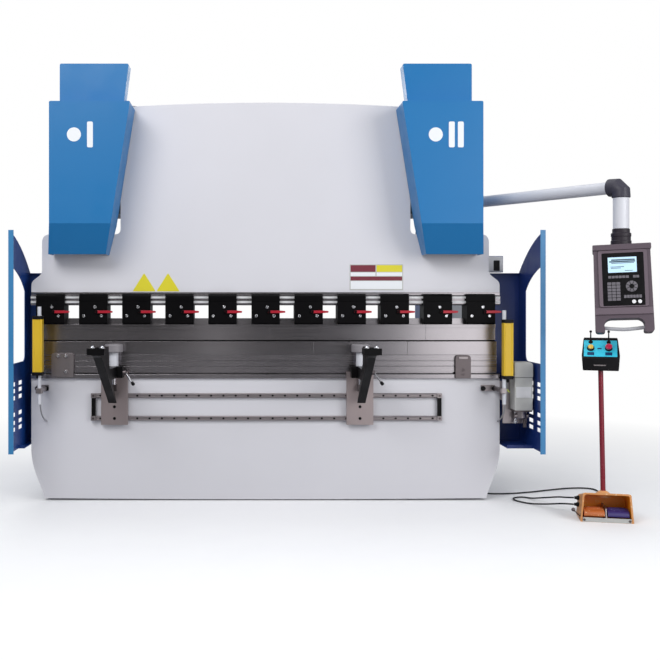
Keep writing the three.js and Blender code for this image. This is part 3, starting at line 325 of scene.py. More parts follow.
def paint_with_painted_shade(name, inner, outer, edge_y):
    """Enamel that is one colour in front of a plane across Y and a darker one behind it: painted
    shade on the sides behind the plane.
    """
    finish = Finish(name, 0.4, Coat_Weight=0.2, Coat_Roughness=0.25)
    painted_shade_mask = finish.range(finish.axis("Y"), 0, 1, edge_y, edge_y + 0.001)
    clouds = finish.noise(1.6, detail=5.0)
    front = finish.shades(clouds, outer, 0.95, 1.03)
    # The colour behind the plane is painted shade: the guards' sides are the same blue as their
    # flanges.
    back = finish.shades(clouds, inner, 0.9, 1.1)
    finish.color(finish.mix(painted_shade_mask, front, back))
    return sprayed(finish, 0.34, 0.5)


def steel(name, color, roughness=0.3, stretch=(1.5, 240, 240), stain=0.12, ledge_shade=1.0):
    """Ground or machined steel: fine lines along the bed, and thin stains of oil. Faces that look
    up
    keep that share of the colour: painted shade on the ledges, along with their oil film."""
    finish = Finish(name, roughness, metallic=1.0)
    lines = finish.noise(2.2, stretch=stretch, detail=2.0)
    film = finish.noise(3.5, detail=5.0, distortion=0.6)
    ground = finish.shades(lines, color, 0.92, 1.06)
    oily = finish.shades(lines, color, 0.8, 0.92)
    surface = finish.mix(finish.range(film, 0, stain * 4, 0.45, 0.75), ground, oily)
    # Painted shade: faces that look up take a darker steel colour, standing in for a dark
    # reflection on the ledges.
    if ledge_shade < 1:
        up_face_shade = finish.range(finish.normal("Z"), 0, 1, 0.25, 0.6)
        surface = finish.mix(up_face_shade, surface, shade(color, ledge_shade))
    finish.color(surface)
    finish.roughness(finish.range(lines, roughness - 0.03, roughness + 0.04))
    finish.bump(lines, 0.03, 0.0002)
    return finish.material


def plastic(name, color, roughness=0.45, grain=700, depth=0.08, specular=0.5):
    """Moulded plastic with a fine grain."""
    finish = Finish(name, roughness, Specular_IOR_Level=specular)
    finish.color(finish.shades(finish.noise(14), color, 0.93, 1.06))
    finish.roughness(finish.range(finish.noise(60), roughness - 0.05, roughness + 0.07))
    finish.bump(finish.noise(grain, detail=2.0), depth, 0.0004)
    return finish.material


def worn_enamel(name, color, bare, roughness=0.4):
    """Enamel rubbed through in small patches to a paler ground."""
    finish = Finish(name, roughness, Coat_Weight=0.15, Coat_Roughness=0.3)
    clouds = finish.noise(7, detail=4.0)
    chips = finish.range(finish.noise(75, detail=6.0, distortion=0.4), 0, 1, 0.62, 0.66)
    body = finish.shades(clouds, color, 0.86, 1.12)
    finish.color(finish.mix(chips, body, bare))
    finish.roughness(finish.range(clouds, roughness - 0.05, roughness + 0.12))
    finish.bump(finish.noise(260, detail=2.0), 0.08, 0.0005)
    return finish.material


def glowing_screen(name, color):
    """A backlit display: an even glow with faint clouds."""
    finish = Finish(name, 0.12, Emission_Strength=0.55)
    glow = finish.shades(finish.noise(9), color, 0.95, 1.05)
    finish.color(glow)
    finish.link(glow, finish.shader.inputs["Emission Color"])
    return finish.material


# ---- Shapes ----


def outline(corners, steps=5):
    """The points of a closed outline. A corner (x, y, round) starts to curve that far before it."""
    points = []
    for i, (x, y, *rounded) in enumerate(corners):
        corner = Vector((x, y))
        if not rounded:
            points.append(corner)
            continue
        before = Vector(corners[i - 1][:2]) - corner
        after = Vector(corners[(i + 1) % len(corners)][:2]) - corner
        start = corner + before.normalized() * rounded[0]
        end = corner + after.normalized() * rounded[0]
        for k in range(steps + 1):
            t = k / steps
            points.append(start * (1 - t) ** 2 + corner * 2 * t * (1 - t) + end * t * t)
    return points


def plate(xs, zs, low_round, high_round, steps=5):
    """A rectangle with one round at its two low corners and another at its two high ones."""
    (left, right), (low, high) = xs, zs
    corners = [(left, low, low_round), (right, low, low_round), (right, high, high_round),
               (left, high, high_round)]
    return outline(corners, steps)


def rounded_box(half_x, half_y, radius, centre=(0, 0), steps=5):
    x, y = centre
    return plate((x - half_x, x + half_x), (y - half_y, y + half_y), radius, radius, steps)


def smooth_path(points, steps):
    """A centripetal Catmull-Rom curve through the points, at even steps of its own parameter."""
    points = [Vector(point) for point in points]
    ends = [2 * points[0] - points[1], *points, 2 * points[-1] - points[-2]]
    path = []
    for k in range(steps + 1):
        place = k / steps * (len(points) - 1)
        i = min(int(place), len(points) - 2)
        a, b, c, d = ends[i : i + 4]
        knots = [0.0]
        for p, q in ((a, b), (b, c), (c, d)):
            knots.append(knots[-1] + math.sqrt((q - p).length))
        t0, t1, t2, t3 = knots
        t = t1 + (place - i) * (t2 - t1)
        a1 = a * ((t1 - t) / (t1 - t0)) + b * ((t - t0) / (t1 - t0))
        a2 = b * ((t2 - t) / (t2 - t1)) + c * ((t - t1) / (t2 - t1))
        a3 = c * ((t3 - t) / (t3 - t2)) + d * ((t - t2) / (t3 - t2))
        b1 = a1 * ((t2 - t) / (t2 - t0)) + a2 * ((t - t0) / (t2 - t0))
        b2 = a2 * ((t3 - t) / (t3 - t1)) + a3 * ((t - t1) / (t3 - t1))
        path.append(b1 * ((t2 - t) / (t2 - t1)) + b2 * ((t - t1) / (t2 - t1)))
    return path


PLANES = {
    "x": lambda u, v, w: (w, u, v),
    "y": lambda u, v, w: (u, w, v),
    "z": lambda u, v, w: (u, v, w),
}


class Shape:
    """A mesh in the making, in millimetres of a place, each solid in its own material."""

    def __init__(self, place=MACHINE):
        self.mesh = bmesh.new()
        self.place = place
        self.materials = []

    def loft(self, rings, material, hoop=False):
        """A solid through rings of points: capped at both ends, or a hoop that closes on itself."""
        if material not in self.materials:
            self.materials.append(material)
        loops = [[self.mesh.verts.new(point) for point in ring] for ring in rings]
        count = len(loops[0])
        if hoop:
            faces = []
            loops.append(loops[0])
        else:
            faces = [self.mesh.faces.new(loops[0]), self.mesh.faces.new(loops[-1])]
        for low, high in zip(loops, loops[1:]):
            for i in range(count):
                j = (i + 1) % count
                faces.append(self.mesh.faces.new((low[i], low[j], high[j], high[i])))
        for face in faces:
            face.material_index = self.materials.index(material)
            face.smooth = True
        bmesh.ops.recalc_face_normals(self.mesh, faces=faces)

    def prism(self, axis, points, reach, material):
        """An outline in (Y, Z), (X, Z) or (X, Y), drawn out along X, Y or Z."""
        plane = PLANES[axis]
        self.loft([[plane(*point, w) for point in points] for w in reach], material)

    def block(self, xs, ys, zs, material):
        corners = [(xs[0], ys[0]), (xs[1], ys[0]), (xs[1], ys[1]), (xs[0], ys[1])]
        self.prism("z", corners, zs, material)

    def lathe(self, start, direction, rings, material, sides=24):
        """A turned solid from start along direction: rings are (radius, distance along)."""
        start = Vector(start)
        along = Vector(direction).normalized()
        side = along.orthogonal().normalized()
        other = along.cross(side)
        turn = [2 * math.pi * i / sides for i in range(sides)]
        self.loft(
            [
                [start + along * h + (side * math.cos(a) + other * math.sin(a)) * r for a in turn]
                for r, h in rings
            ],
            material,
        )

    def rod(self, start, end, radius, material, sides=24):
        run = Vector(end) - Vector(start)
        self.lathe(start, run, [(radius, 0), (radius, run.length)], material, sides)

    def ball(self, centre, radius, material, sides=20):
        levels = [math.radians(degree) for degree in range(-84, 85, 14)]
        rings = [(radius * math.cos(a), radius * math.sin(a)) for a in levels]
        self.lathe(centre, UP, rings, material, sides)

    def tube(self, points, radius, material, sides=12, steps=24):
        path = smooth_path(points, steps)
        normal = (path[1] - path[0]).orthogonal().normalized()
        rings = []
        for i, point in enumerate(path):
            ahead = path[min(i + 1, steps)] - path[max(i - 1, 0)]
            normal = (normal - ahead * normal.dot(ahead) / ahead.length_squared).normalized()
            other = ahead.normalized().cross(normal)
            turn = [2 * math.pi * k / sides for k in range(sides)]
            rings.append(
                [point + (normal * math.cos(a) + other * math.sin(a)) * radius for a in turn]
            )
        self.loft(rings, material)

    def screw(self, centre, direction, radius, head, material):
        """A socket head screw that stands proud of a face, with its hexagon socket."""
        hexagon = radius * 0.52
        centre = Vector(centre)
        rings = [(radius, 0), (radius, head * 0.8), (radius * 0.88, head), (hexagon, head),
                 (hexagon * 0.97, head * 0.35)]
        self.lathe(centre, direction, rings, material, 18)

    def piece(self, name, body, slot, bevel=0.8, replaces=(), segments=2):
        """The finished mesh as an object that rides on a body."""
        data = bpy.data.meshes.new(name)
        self.mesh.transform(self.place)
        self.mesh.to_mesh(data)
        self.mesh.free()
        for material in self.materials:
            data.materials.append(material)
        made = new_object(name, data)
        round_edges(made, bevel, segments)
        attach(made, body)
        if replaces:
            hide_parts(*replaces)
        return made


def round_edges(piece, width, segments=2):
    """Small rounds on all sharp edges, so that they catch the light."""
    bevel = piece.modifiers.new("edges", "BEVEL")
    bevel.width = width * MM
    bevel.segments = segments
    bevel.limit_method = "ANGLE"
    bevel.angle_limit = math.radians(32)
    bevel.harden_normals = True


def dress(node, material, bevel=1.5):
    """A CAD node that stays: its material, and rounds on its edges."""
    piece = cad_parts[node]
    piece.data.materials.clear()
    piece.data.materials.append(material)
    weld = piece.modifiers.new("weld", "WELD")
    weld.merge_threshold = 0.00001
    round_edges(piece, bevel)


# ---- Finishes ----

WHITE = paint("white_enamel", rgb(220, 219, 225), 0.5, 0.1)
BLUE = paint("blue_enamel", rgb(22, 116, 178), 0.42, 0.1, 0.35)
FRAME_BLUE = paint("frame_blue_enamel", rgb(22, 66, 130), 0.42)
# In front of this plane lie the pale front flanges of the guards; behind it their sides carry
# painted shade, the left guard's lighter than the right's.
GUARD_EDGE = at(0, -294, 0).y
GUARDS = {
    "left": paint_with_painted_shade("guard_enamel_painted_shade_left", rgb(14, 62, 136), rgb(54, 130, 184), GUARD_EDGE),
    "right": paint_with_painted_shade("guard_enamel_painted_shade_right", rgb(12, 44, 112), rgb(54, 126, 178), GUARD_EDGE),
}
# Both steels carry painted shade on the faces that look up.
TOOL_STEEL = steel("ground_tool_steel", rgb(172, 167, 171), 0.22, ledge_shade=0.12)
BED_STEEL = steel("bed_steel", rgb(168, 163, 167), 0.25, ledge_shade=0.12)
DARK_STEEL = steel("dark_steel", rgb(112, 104, 106), 0.4, (140, 140, 3))
PLATE_STEEL = steel("plate_steel", rgb(164, 156, 158), 0.38, (120, 120, 4))
CARRIAGE_STEEL = steel("carriage_steel", rgb(186, 172, 172), 0.42, (140, 140, 3))
BRIGHT_STEEL = steel("bright_steel", rgb(214, 214, 218), 0.2, (60, 60, 60), 0.03)
CHROME = steel("hard_chrome", rgb(230, 230, 234), 0.1, (30, 30, 30), 0.02)
CLAMP_BLACK = paint("black_oxide", rgb(9, 8, 10), 0.45, 0.0, 0.08)
BLACK_PAINT = paint("black_enamel", rgb(11, 10, 12), 0.38, 0.0, 0.15)
BLACK_PLASTIC = plastic("black_plastic", rgb(15, 14, 17), 0.45, specular=0.2)
RED = plastic("red_plastic", rgb(176, 22, 44), 0.3, 300, 0.03)
YELLOW_PAINT = paint("yellow_enamel", rgb(226, 186, 36), 0.4)
GREY_ENAMEL = paint("grey_enamel", rgb(190, 190, 187), 0.45)
# Pale plates; on the clamping rail, the same paint makes painted highlights.
PALE_PLATE_AND_HIGHLIGHT = paint("pale_plate_and_highlight", rgb(224, 224, 226), 0.5)
UNIT_GREY = paint("unit_grey_enamel", rgb(120, 124, 126), 0.45)
TUBE_SILVER = paint("satin_tube", rgb(214, 215, 222), 0.42, 0.1)
GRIP_SILVER = paint("satin_grip", rgb(176, 176, 182), 0.42, 0.1)
DISC_GREY = paint("disc_grey", rgb(136, 132, 136), 0.5)
ELBOW = plastic("elbow_grey", rgb(58, 56, 68), 0.45, specular=0.35)
SOCKET = plastic("socket_grey", rgb(42, 36, 44), 0.45, specular=0.3)
HOUSING = plastic("housing_grey", rgb(90, 78, 87), 0.5, specular=0.3)
HOUSING_PALE = plastic("housing_light_grey", rgb(106, 93, 102), 0.48, specular=0.3)
PANEL = plastic("panel_black", rgb(9, 8, 11), 0.35, 900, 0.02, 0.2)
SCREEN = glowing_screen("screen", rgb(176, 206, 226))
SCREEN_DARK = plastic("screen_marks", rgb(62, 84, 98), 0.3, 900, 0.02)
KEY = plastic("key_grey", rgb(104, 100, 107), 0.5)
KEY_WHITE = plastic("key_white", rgb(236, 236, 238), 0.35)
ORANGE = worn_enamel("orange_enamel", rgb(255, 150, 12), rgb(244, 172, 80))
RIM = worn_enamel("rim_enamel", rgb(214, 150, 92), rgb(236, 206, 168))
PEDAL_ORANGE = worn_enamel("pedal_orange", rgb(190, 104, 50), rgb(220, 176, 132))
PEDAL_VIOLET = worn_enamel("pedal_violet", rgb(54, 42, 108), rgb(98, 92, 146))
MAROON = paint("maroon_enamel", rgb(126, 22, 42), 0.32)
CYAN = paint("cyan_face", rgb(52, 204, 234), 0.4)
NAVY = plastic("navy_plate", rgb(14, 60, 104), 0.35)
BUTTON_YELLOW = plastic("button_yellow", rgb(238, 196, 84), 0.25, 300, 0.02)
BUTTON_RED = plastic("button_red", rgb(214, 46, 84), 0.25, 300, 0.02)
CABINET = paint("cabinet_grey", rgb(206, 208, 208), 0.45)
RUBBER = plastic("cord_rubber", rgb(24, 24, 26), 0.6, 900, 0.1)
LEAD_GREY = plastic("lead_grey", rgb(150, 150, 154), 0.5)
WIRE_GREEN = plastic("wire_green", rgb(206, 222, 96), 0.4)
SIGN_YELLOW = paint("sign_yellow", rgb(226, 214, 40), 0.4)
SIGN_MAROON = paint("sign_maroon", rgb(120, 34, 52), 0.45)
MARK_WHITE = paint("mark_white", rgb(240, 243, 246), 0.4)


# ---- Cords ----

CORD_RADIUS = 4
PEDAL_CABLE = [
    (1104, 200, 60), (1124, 199, 57), (1145, 195, 34), (1175, 181, 8), (1225, 158, 5),
    (1330, 152, 5), (1474, 194, 5), (1600, 252, 5), (1715, 297, 5), (1800, 306, 5),
    (1850, 280, 5), (1858, 200, 5), (1835, 90, 5), (1785, -50, 5), (1735, -180, 8),
    (1710, -260, 34), (1698, -312, 58), (1693.6, -333.2, 60),
]
LOOP_CABLE = [
    (1523.6, -364.1, 92), (1506, -357, 91), (1494, -320, 84), (1490, -240, 69), (1462, -100, 36),
    (1429, 30, 6), (1388, 62, 5), (1343, 42, 5), (1328, 0, 5), (1345, -52, 5), (1388, -100, 5),
    (1440, -190, 22), (1478, -290, 46), (1486, -352, 59), (1500, -372, 62), (1517.8, -377.2, 62),
]


def make_cord(name, route, node, steps):
    """A free cord along its route, as one curve as thick as the cord."""
    path = [at(*point) for point in smooth_path(route, steps)]
    data = bpy.data.curves.new(name, "CURVE")
    data.dimensions = "3D"
    data.bevel_depth = CORD_RADIUS * MM
    data.bevel_resolution = 4
    data.use_fill_caps = True
    line = data.splines.new("POLY")
    line.points.add(len(path) - 1)
    for point, place in zip(line.points, path):
        point.co = (*place, 1)
    line.use_smooth = True
    data.materials.append(RUBBER)
    cord = new_object(name, data)
    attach(cord, "machine")
    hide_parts(node)


# ---- Ram, clamps and tools ----


def sign_plates():
    """Plain plates where the real ram has signs: two triangles and a block of colours."""
    shape = Shape()
    for x in (-649, -521):
        corners = [(x - 62, 1118, 8), (x + 62, 1118, 8), (x, 1216, 8)]
        shape.prism("y", outline(corners, 4), (-1.0, 0.2), SIGN_YELLOW)
    shape.piece("sign_triangles", "ram", "white_paint", 0.2)
    board = Shape()
    board.prism("y", rounded_box(143, 69, 3, (593, 1193)), (-0.8, 0.2), GREY_ENAMEL)
    whole, left, right = (455, 731), (455, 588), (594, 731)
    panels = [
        (left, (1222, 1258), SIGN_MAROON),
        (right, (1222, 1258), SIGN_YELLOW),
        (left, (1200, 1219), MARK_WHITE),
        (right, (1200, 1219), MARK_WHITE),
        (whole, (1176, 1197), SIGN_MAROON),
        (whole, (1130, 1173), MARK_WHITE),
    ]
    for xs, zs, material in panels:
        board.block(xs, (-1.3, -0.7), zs, material)
    board.piece("sign_board", "ram", "white_paint", 0.15)


def clamping_rail():
    low, high = span("clamp_rail")
    bottom, top = 1043, high.z
    front, back = -12, 82
    profile = [
        (back, bottom), (back, top), (front + 8, top), (front + 8, top - 16), (front, top - 26),
        (front, top - 38), (front + 3, top - 38), (front + 3, top - 43), (front, top - 43),
        (front, bottom + 7), (front + 7, bottom),
    ]
    shape = Shape()
    shape.prism("x", profile, (low.x, high.x), BED_STEEL)
    # Two pale strips along the rail's front are painted highlights, where the steel catches the
    # light.
    for z in (bottom + 12, top - 33):
        shape.block((low.x, high.x), (front - 2, front + 1), (z, z + 11), PALE_PLATE_AND_HIGHLIGHT)
    shape.piece("clamping_rail", "ram", "tool_steel", 0.6, ["clamp_rail"])


def quick_clamp(name, x):
    """A clamp hugs the rail. A groove parts its upper block from the jaw with the three screws."""
    half = 75
    profile = [
        (-45, 950), (-37, 942), (21, 942), (21, 975), (49, 975), (49, 942), (80, 942),
        (80, 1042.7), (-14.5, 1042.7), (-14.5, 1104), (-33, 1104), (-45, 1092), (-45, 1066),
        (-42, 1066), (-42, 1063), (-45, 1063),
    ]
    shape = Shape()
    shape.prism("x", profile, (x - half, x + half), CLAMP_BLACK)
    for dx, z in ((9, 1034), (-50, 987), (44, 987)):
        shape.screw((x + dx, -44.5, z), TO_FRONT, 8, 4, BRIGHT_STEEL)
    shape.piece(name, "ram", "clamp_black", 1.6)


def clamp_lever(number, x):
    """A red lever on a dark hub."""
    z = 1009
    pivot = x + 20
    shape = Shape()
    shape.lathe((pivot, -45.6, z), TO_FRONT, [(10, 0), (10, 8), (8, 11)], CLAMP_BLACK)
    arm = outline([(pivot - 8, z - 7, 6), (pivot + 56, z - 7), (pivot + 84, z - 4.5, 3),
                   (pivot + 84, z + 4.5, 3), (pivot + 56, z + 7), (pivot - 8, z + 7, 6)], 4)
    shape.prism("y", arm, (-56.5, -49), RED)
    shape.piece(f"lever_handle_{number}", f"lever_{number}", "lever_red", 1.4,
                [f"clamp_lever_{number}"])


def tool_row(name, node, body, profile, joints, bevel):
    """A tool profile along the whole bed, in lengths that butt against each other."""
    low, high = span(node)
    gap = 0.5
    shape = Shape()
    ends = [low.x, *joints, high.x]
    for start, end in zip(ends, ends[1:]):
        shape.prism("x", profile, (start + gap / 2, end - gap / 2), TOOL_STEEL)
    shape.piece(name, body, "tool_steel", bevel, [node])


def make_tools():
    punch = [
        (34, 841.5), (36, 841.5), (50, 856), (50, 922), (58, 922), (58, 941.6), (48, 941.6),
        (48, 973.8), (22, 973.8), (22, 941.6), (12, 941.6), (12, 922), (20, 922), (20, 856),
    ]
    tool_row("punch_row", "punch", "ram", punch, (-386, 24, 860), 0.7)
    low, high = span("die_block")
    middle = (low.y + high.y) / 2
    top = high.z
    die = [
        (low.y, low.z), (high.y, low.z), (high.y, top), (middle + 25, top), (middle + 1, top - 24),
        (middle - 1, top - 24), (middle - 25, top), (low.y, top),
    ]
    tool_row("die_row", "die_block", "machine", die, (-811, 257, 758), 0.9)


def make_ram():
    dress("ram_beam", WHITE, 3)
    for word in SIDES:
        dress(f"piston_rod_{word}", CHROME, 2)
    sign_plates()
    clamping_rail()
    for i in range(CLAMPS):
        x = (i - (CLAMPS - 1) / 2) * CLAMP_PITCH
        number = f"{i + 1:02d}"
        quick_clamp(f"quick_clamp_{number}", x)
        clamp_lever(number, x)
    make_tools()


# ---- Frame, table and covers ----


def stop_plate(word, low_round, high_round, material):
    """A new shape with a die stop's plate in it, and the plate's lowest and highest corner."""
    low, high = span(f"die_stop_{word}")
    shape = Shape()
    face = plate((low.x, high.x), (low.z, high.z), low_round, high_round)
    shape.prism("y", face, (low.y, high.y), material)
    return shape, low, high


def die_stops():
    shape, low, _ = stop_plate("left", 3, 14, PLATE_STEEL)
    washer = [(13, 0), (13, 7), (11, 9)]
    for dx, z in ((36, 774), (78, 774), (78, 691)):
        x = low.x + dx
        shape.lathe((x, low.y + 0.5, z), TO_FRONT, washer, PLATE_STEEL)
        shape.screw((x, low.y - 8, z), TO_FRONT, 7, 3, BRIGHT_STEEL)
    shape.piece("stop_plate_left", "machine", "machined_steel", 1, ["die_stop_left"])

    shape, low, high = stop_plate("right", 2, 20, DARK_STEEL)
    middle = (low.x + high.x) / 2
    lip = rounded_box(24, 6, 5, (middle, high.z - 14))
    shape.prism("y", lip, (low.y - 5, low.y + 1), PLATE_STEEL)
    for z in (700, 676):
        shape.screw((middle, low.y + 0.5, z), TO_FRONT, 7, 4, DARK_STEEL)
    shape.piece("stop_plate_right", "machine", "machined_steel", 1.2, ["die_stop_right"])


def cover_marks():
    """Plain white marks in place of the covers' lettering: a disc, and one bar or two."""
    z = 1918
    for word, bars in (("left", 1), ("right", 2)):
        low, _ = span(f"cylinder_cover_{word}")
        x = SIDES[word] * 925
        front = low.y
        shape = Shape()
        disc = [(36, 0), (36, 1.1)]
        shape.lathe((x - 58, front + 0.3, z), TO_FRONT, disc, MARK_WHITE, 40)
        for i in range(bars):
            bar = rounded_box(15, 66, 8, (x + 24 + i * 46, z))
            shape.prism("y", bar, (front - 0.8, front + 0.3), MARK_WHITE)
        shape.piece(f"cover_mark_{word}", "machine", "blue_paint", 0.15)


def cover_screws():
    """Button-head screws along the outer edges of the covers and the hoods."""
    cover_edge = 1111
    sunk = 0.3
    for word, side in SIDES.items():
        shape = Shape()
        x = side * cover_edge - side * sunk
        for z in (1500, 1700, 1900, 2060):
            for y in (-160, 120):
                shape.screw((x, y, z), (side, 0, 0), 7, 3.5, BLUE)
        low, high = span(f"valve_hood_{word}")
        edge = high.x if side > 0 else low.x
        for y in (-60, 40, 140):
            shape.screw((edge - side * sunk, y, low.z + 22), (side, 0, 0), 6, 3, BLUE)
        shape.piece(f"cover_screws_{word}", "machine", "blue_paint", 0.4)


def hood_walls():
    """The inner walls of the hoods behind the ram's front, clear of its rising plate."""
    inner, outer = 790, 794
    for word, side in SIDES.items():
        low, high = span(f"valve_hood_{word}")
        shape = Shape()
        shape.block((side * inner, side * outer), (-8, high.y), (low.z, high.z - 3), BLUE)
        shape.piece(f"hood_wall_{word}", "machine", "blue_paint", 0.5)


def scale_box():
    """The pale front and the black window of the position sensor's box on the right frame."""
    shape = Shape()
    shape.prism("y", rounded_box(119, 42, 4, (1197, 1270)), (174.2, 176.4), PALE_PLATE_AND_HIGHLIGHT)
    shape.prism("y", rounded_box(17, 29, 4, (1282, 1262)), (173.2, 174.6), BLACK_PLASTIC)
    shape.piece("scale_box_front", "machine", "blue_paint", 0.4)


def make_frame():
    scale_box()
    for word in SIDES:
        dress(f"side_frame_{word}", FRAME_BLUE, 2.5)
        dress(f"cylinder_cover_{word}", BLUE, 1.6)
        dress(f"valve_hood_{word}", BLUE, 1.6)
        dress(f"cylinder_{word}", BLACK_PAINT, 2)
    dress("table_beam", WHITE, 2.5)
    dress("bed_plate", BED_STEEL, 1.2)
    dress("die_rail", BED_STEEL, 0.8)
    die_stops()
    cover_marks()
    cover_screws()
    hood_walls()


# ---- Guards and light curtains ----


def guard_fittings(word, side):
    """The hinge knuckles of a side guard."""
    shape = Shape()
    hinge_x = side * 1094
    for z in (300, 560, 820, 1080):
        shape.lathe((hinge_x, 158, z), UP, [(11.5, 0), (11.5, 90)], DARK_STEEL)
    shape.piece(f"guard_fittings_{word}", f"guard_{word}", "guard_blue", 0.8)


CURTAIN_Y = -150
CURTAIN_HALF = 25
CURTAIN_REACH = 154
CURTAINS = {
    "left": {"x": -1182, "post": -1175, "middle": 835, "bracket": (-1222, -1158)},
    "right": {"x": 1253, "post": 1236, "middle": 816, "bracket": (1150, 1225)},
}


def curtain_bar(word, x, low, high):
    """A yellow sensor bar with a lip on each side of its window, between black caps."""
    cap = 17
    half = CURTAIN_HALF
    front, back = CURTAIN_Y - half, CURTAIN_Y + half
    shape = Shape()
    section = outline([
        (x - half, front, 4), (x - half + 8, front), (x - half + 10, front + 3),
        (x + half - 10, front + 3), (x + half - 8, front), (x + half, front, 4),
        (x + half, back, 6), (x - half, back, 6),
    ], 4)
    shape.prism("z", section, (low + cap, high - cap), YELLOW_PAINT)
    ends = rounded_box(half + 0.8, half + 0.8, 7, (x, CURTAIN_Y), 4)
    for start in (low, high - cap):
        shape.prism("z", ends, (start, start + cap), BLACK_PLASTIC)
    shape.piece(f"curtain_bar_{word}", "machine", "curtain_yellow", 1.2,
                [f"light_curtain_{word}"])


def curtain_post(word, post, bracket, low, high):
    """The bar's silver post in a collar, on a bracket with two knobs on the table's front."""
    shape = Shape()
    for start, end in ((530, low), (high, high + 48)):
        shape.rod((post, CURTAIN_Y, start), (post, CURTAIN_Y, end), 10, TUBE_SILVER)
    left, right = bracket
    clamp = max(left, min(right, post))
    collar = rounded_box(17, 17, 5, ((post + clamp) / 2, CURTAIN_Y))
    shape.prism("z", collar, (588, 614), PLATE_STEEL)
    shape.block((clamp - 12, clamp + 12), (CURTAIN_Y + 12, -8), (592, 611), PLATE_STEEL)
    face = rounded_box((right - left) / 2, 16.5, 4, ((left + right) / 2, 601.5))
    shape.prism("y", face, (-8.3, -0.3), PLATE_STEEL)
    knob = [(5, 0), (5, 8), (12, 9), (13, 13), (13, 20), (10, 23)]
    for x in (left + 8, right - 8):
        shape.lathe((x, -8, 601), TO_FRONT, knob, BLACK_PLASTIC, 20)
    shape.piece(f"curtain_post_{word}", "machine", "curtain_yellow", 0.8)


def curtain_lead(word, side, x, low):
    """The thin grey lead from the bar's plug to the table. The right one has a green wire too."""
    shape = Shape()
    route = [(x, CURTAIN_Y, low + 4), (x + side * 4, CURTAIN_Y + 22, 640),
             (x + side * 2, CURTAIN_Y + 40, 560), (x - side * 4, CURTAIN_Y + 70, 470),
             (x - side * 10, -20, 430), (x - side * 14, -5, 425)]
    shape.tube(route, 4, LEAD_GREY, 10, 40)
    shape.lathe((x, CURTAIN_Y, low), (0, 0, -1), [(9, 0), (9, 12), (6, 18)], BLACK_PLASTIC)
    if word == "right":
        wire = [(1244, -132, 618), (1252, -140, 606), (1266, -142, 592)]
        shape.tube(wire, 3.5, WIRE_GREEN, 8, 8)
    shape.piece(f"curtain_lead_{word}", "machine", "curtain_yellow", 0.4)


def light_curtain(word, side, x, post, middle, bracket):
    low, high = middle - CURTAIN_REACH, middle + CURTAIN_REACH
    curtain_bar(word, x, low, high)
    curtain_post(word, post, bracket, low, high)
    curtain_lead(word, side, x, low)


def lubricator():
    """A grease pump in a grey box with a lid and a plain plate, its bracket and its fittings."""
    left = 1252.3
    x, y = 1338, -104
    shape = Shape()
    shape.block((left, left + 6), (-60, 60), (540, 640), PLATE_STEEL)
    shape.block((left, 1380), (-60, -54), (420, 700), PLATE_STEEL)
    shape.prism("y", plate((1292, 1384), (498, 668), 4, 3), (-148, -60), GREY_ENAMEL)
    lid = outline([(1290, 670, 3), (1386, 670, 3), (1386, 748, 18), (1290, 748, 6)])
    shape.prism("y", lid, (-150, -58), GREY_ENAMEL)
    shape.prism("y", rounded_box(40, 28, 3, (x, 592)), (-149.2, -147), PALE_PLATE_AND_HIGHLIGHT)
    shape.prism("z", rounded_box(46, 42, 5, (x, y)), (490, 499), DARK_STEEL)
    shape.lathe((x, y, 450), UP, [(20, 0), (26, 6), (26, 42)], PLATE_STEEL)
    outlet = [(9, 0), (13, 2), (13, 14), (9, 16), (9, 60), (13, 62), (13, 74), (9, 76)]
    shape.lathe((1300, y, 465), (1, 0, 0), outlet, PLATE_STEEL)
    shape.lathe((1356, y, 405), UP, [(9, 0), (9, 57)], DARK_STEEL)
    nipple = [(10, 0), (10, 14), (7, 16), (7, 68)]
    shape.lathe((1311, -90, 425), UP, nipple, BRIGHT_STEEL)
    shape.piece("grease_pump", "machine", "lubricator_grey", 1.2, ["lubricator"])


def make_guards():
    for word, side in SIDES.items():
        dress(f"side_guard_{word}", GUARDS[word], 1)
        guard_fittings(word, side)
        light_curtain(word, side, **CURTAINS[word])
    lubricator()


# ---- Sheet supports ----


def support_track():
    """Two guide rails with their screws, between black end bars with corner blocks."""
    low, high = span("support_track")
    half = 12
    groove = 4
    screws = 28
    screw_head = [(6, 0), (6, 1.6), (3.4, 1.6), (3.2, 0.6)]
    ends = (low.x + 13, high.x - 13)
    shape = Shape()
    for z in (562, 441):
        profile = [(-0.3, z - half), (-0.3, z + half), (-16, z + half), (-20.3, z + half - 4),
                   (-20.3, z + groove + 1), (-18.3, z + groove), (-18.3, z - groove),
                   (-20.3, z - groove - 1), (-20.3, z - half + 4), (-16, z - half)]
        shape.prism("x", profile, (low.x + 27, high.x - 27), PLATE_STEEL)
        for i in range(screws):
            x = low.x + 50 + i * (high.x - low.x - 100) / (screws - 1)
            shape.lathe((x, -18, z), TO_FRONT, screw_head, BLACK_PAINT, 16)
        for x in ends:
            shape.block((x - 13, x + 13), (-24, -0.3), (z - half, z + half), PLATE_STEEL)
            shape.screw((x, -23.8, z), TO_FRONT, 6, 3, DARK_STEEL)
    for x in ends:
        shape.block((x - 10, x + 10), (-22, -0.3), (454, 549), BLACK_PAINT)
    shape.piece("guide_track", "machine", "track_steel", 0.7, ["support_track"])


POST_Y = -60


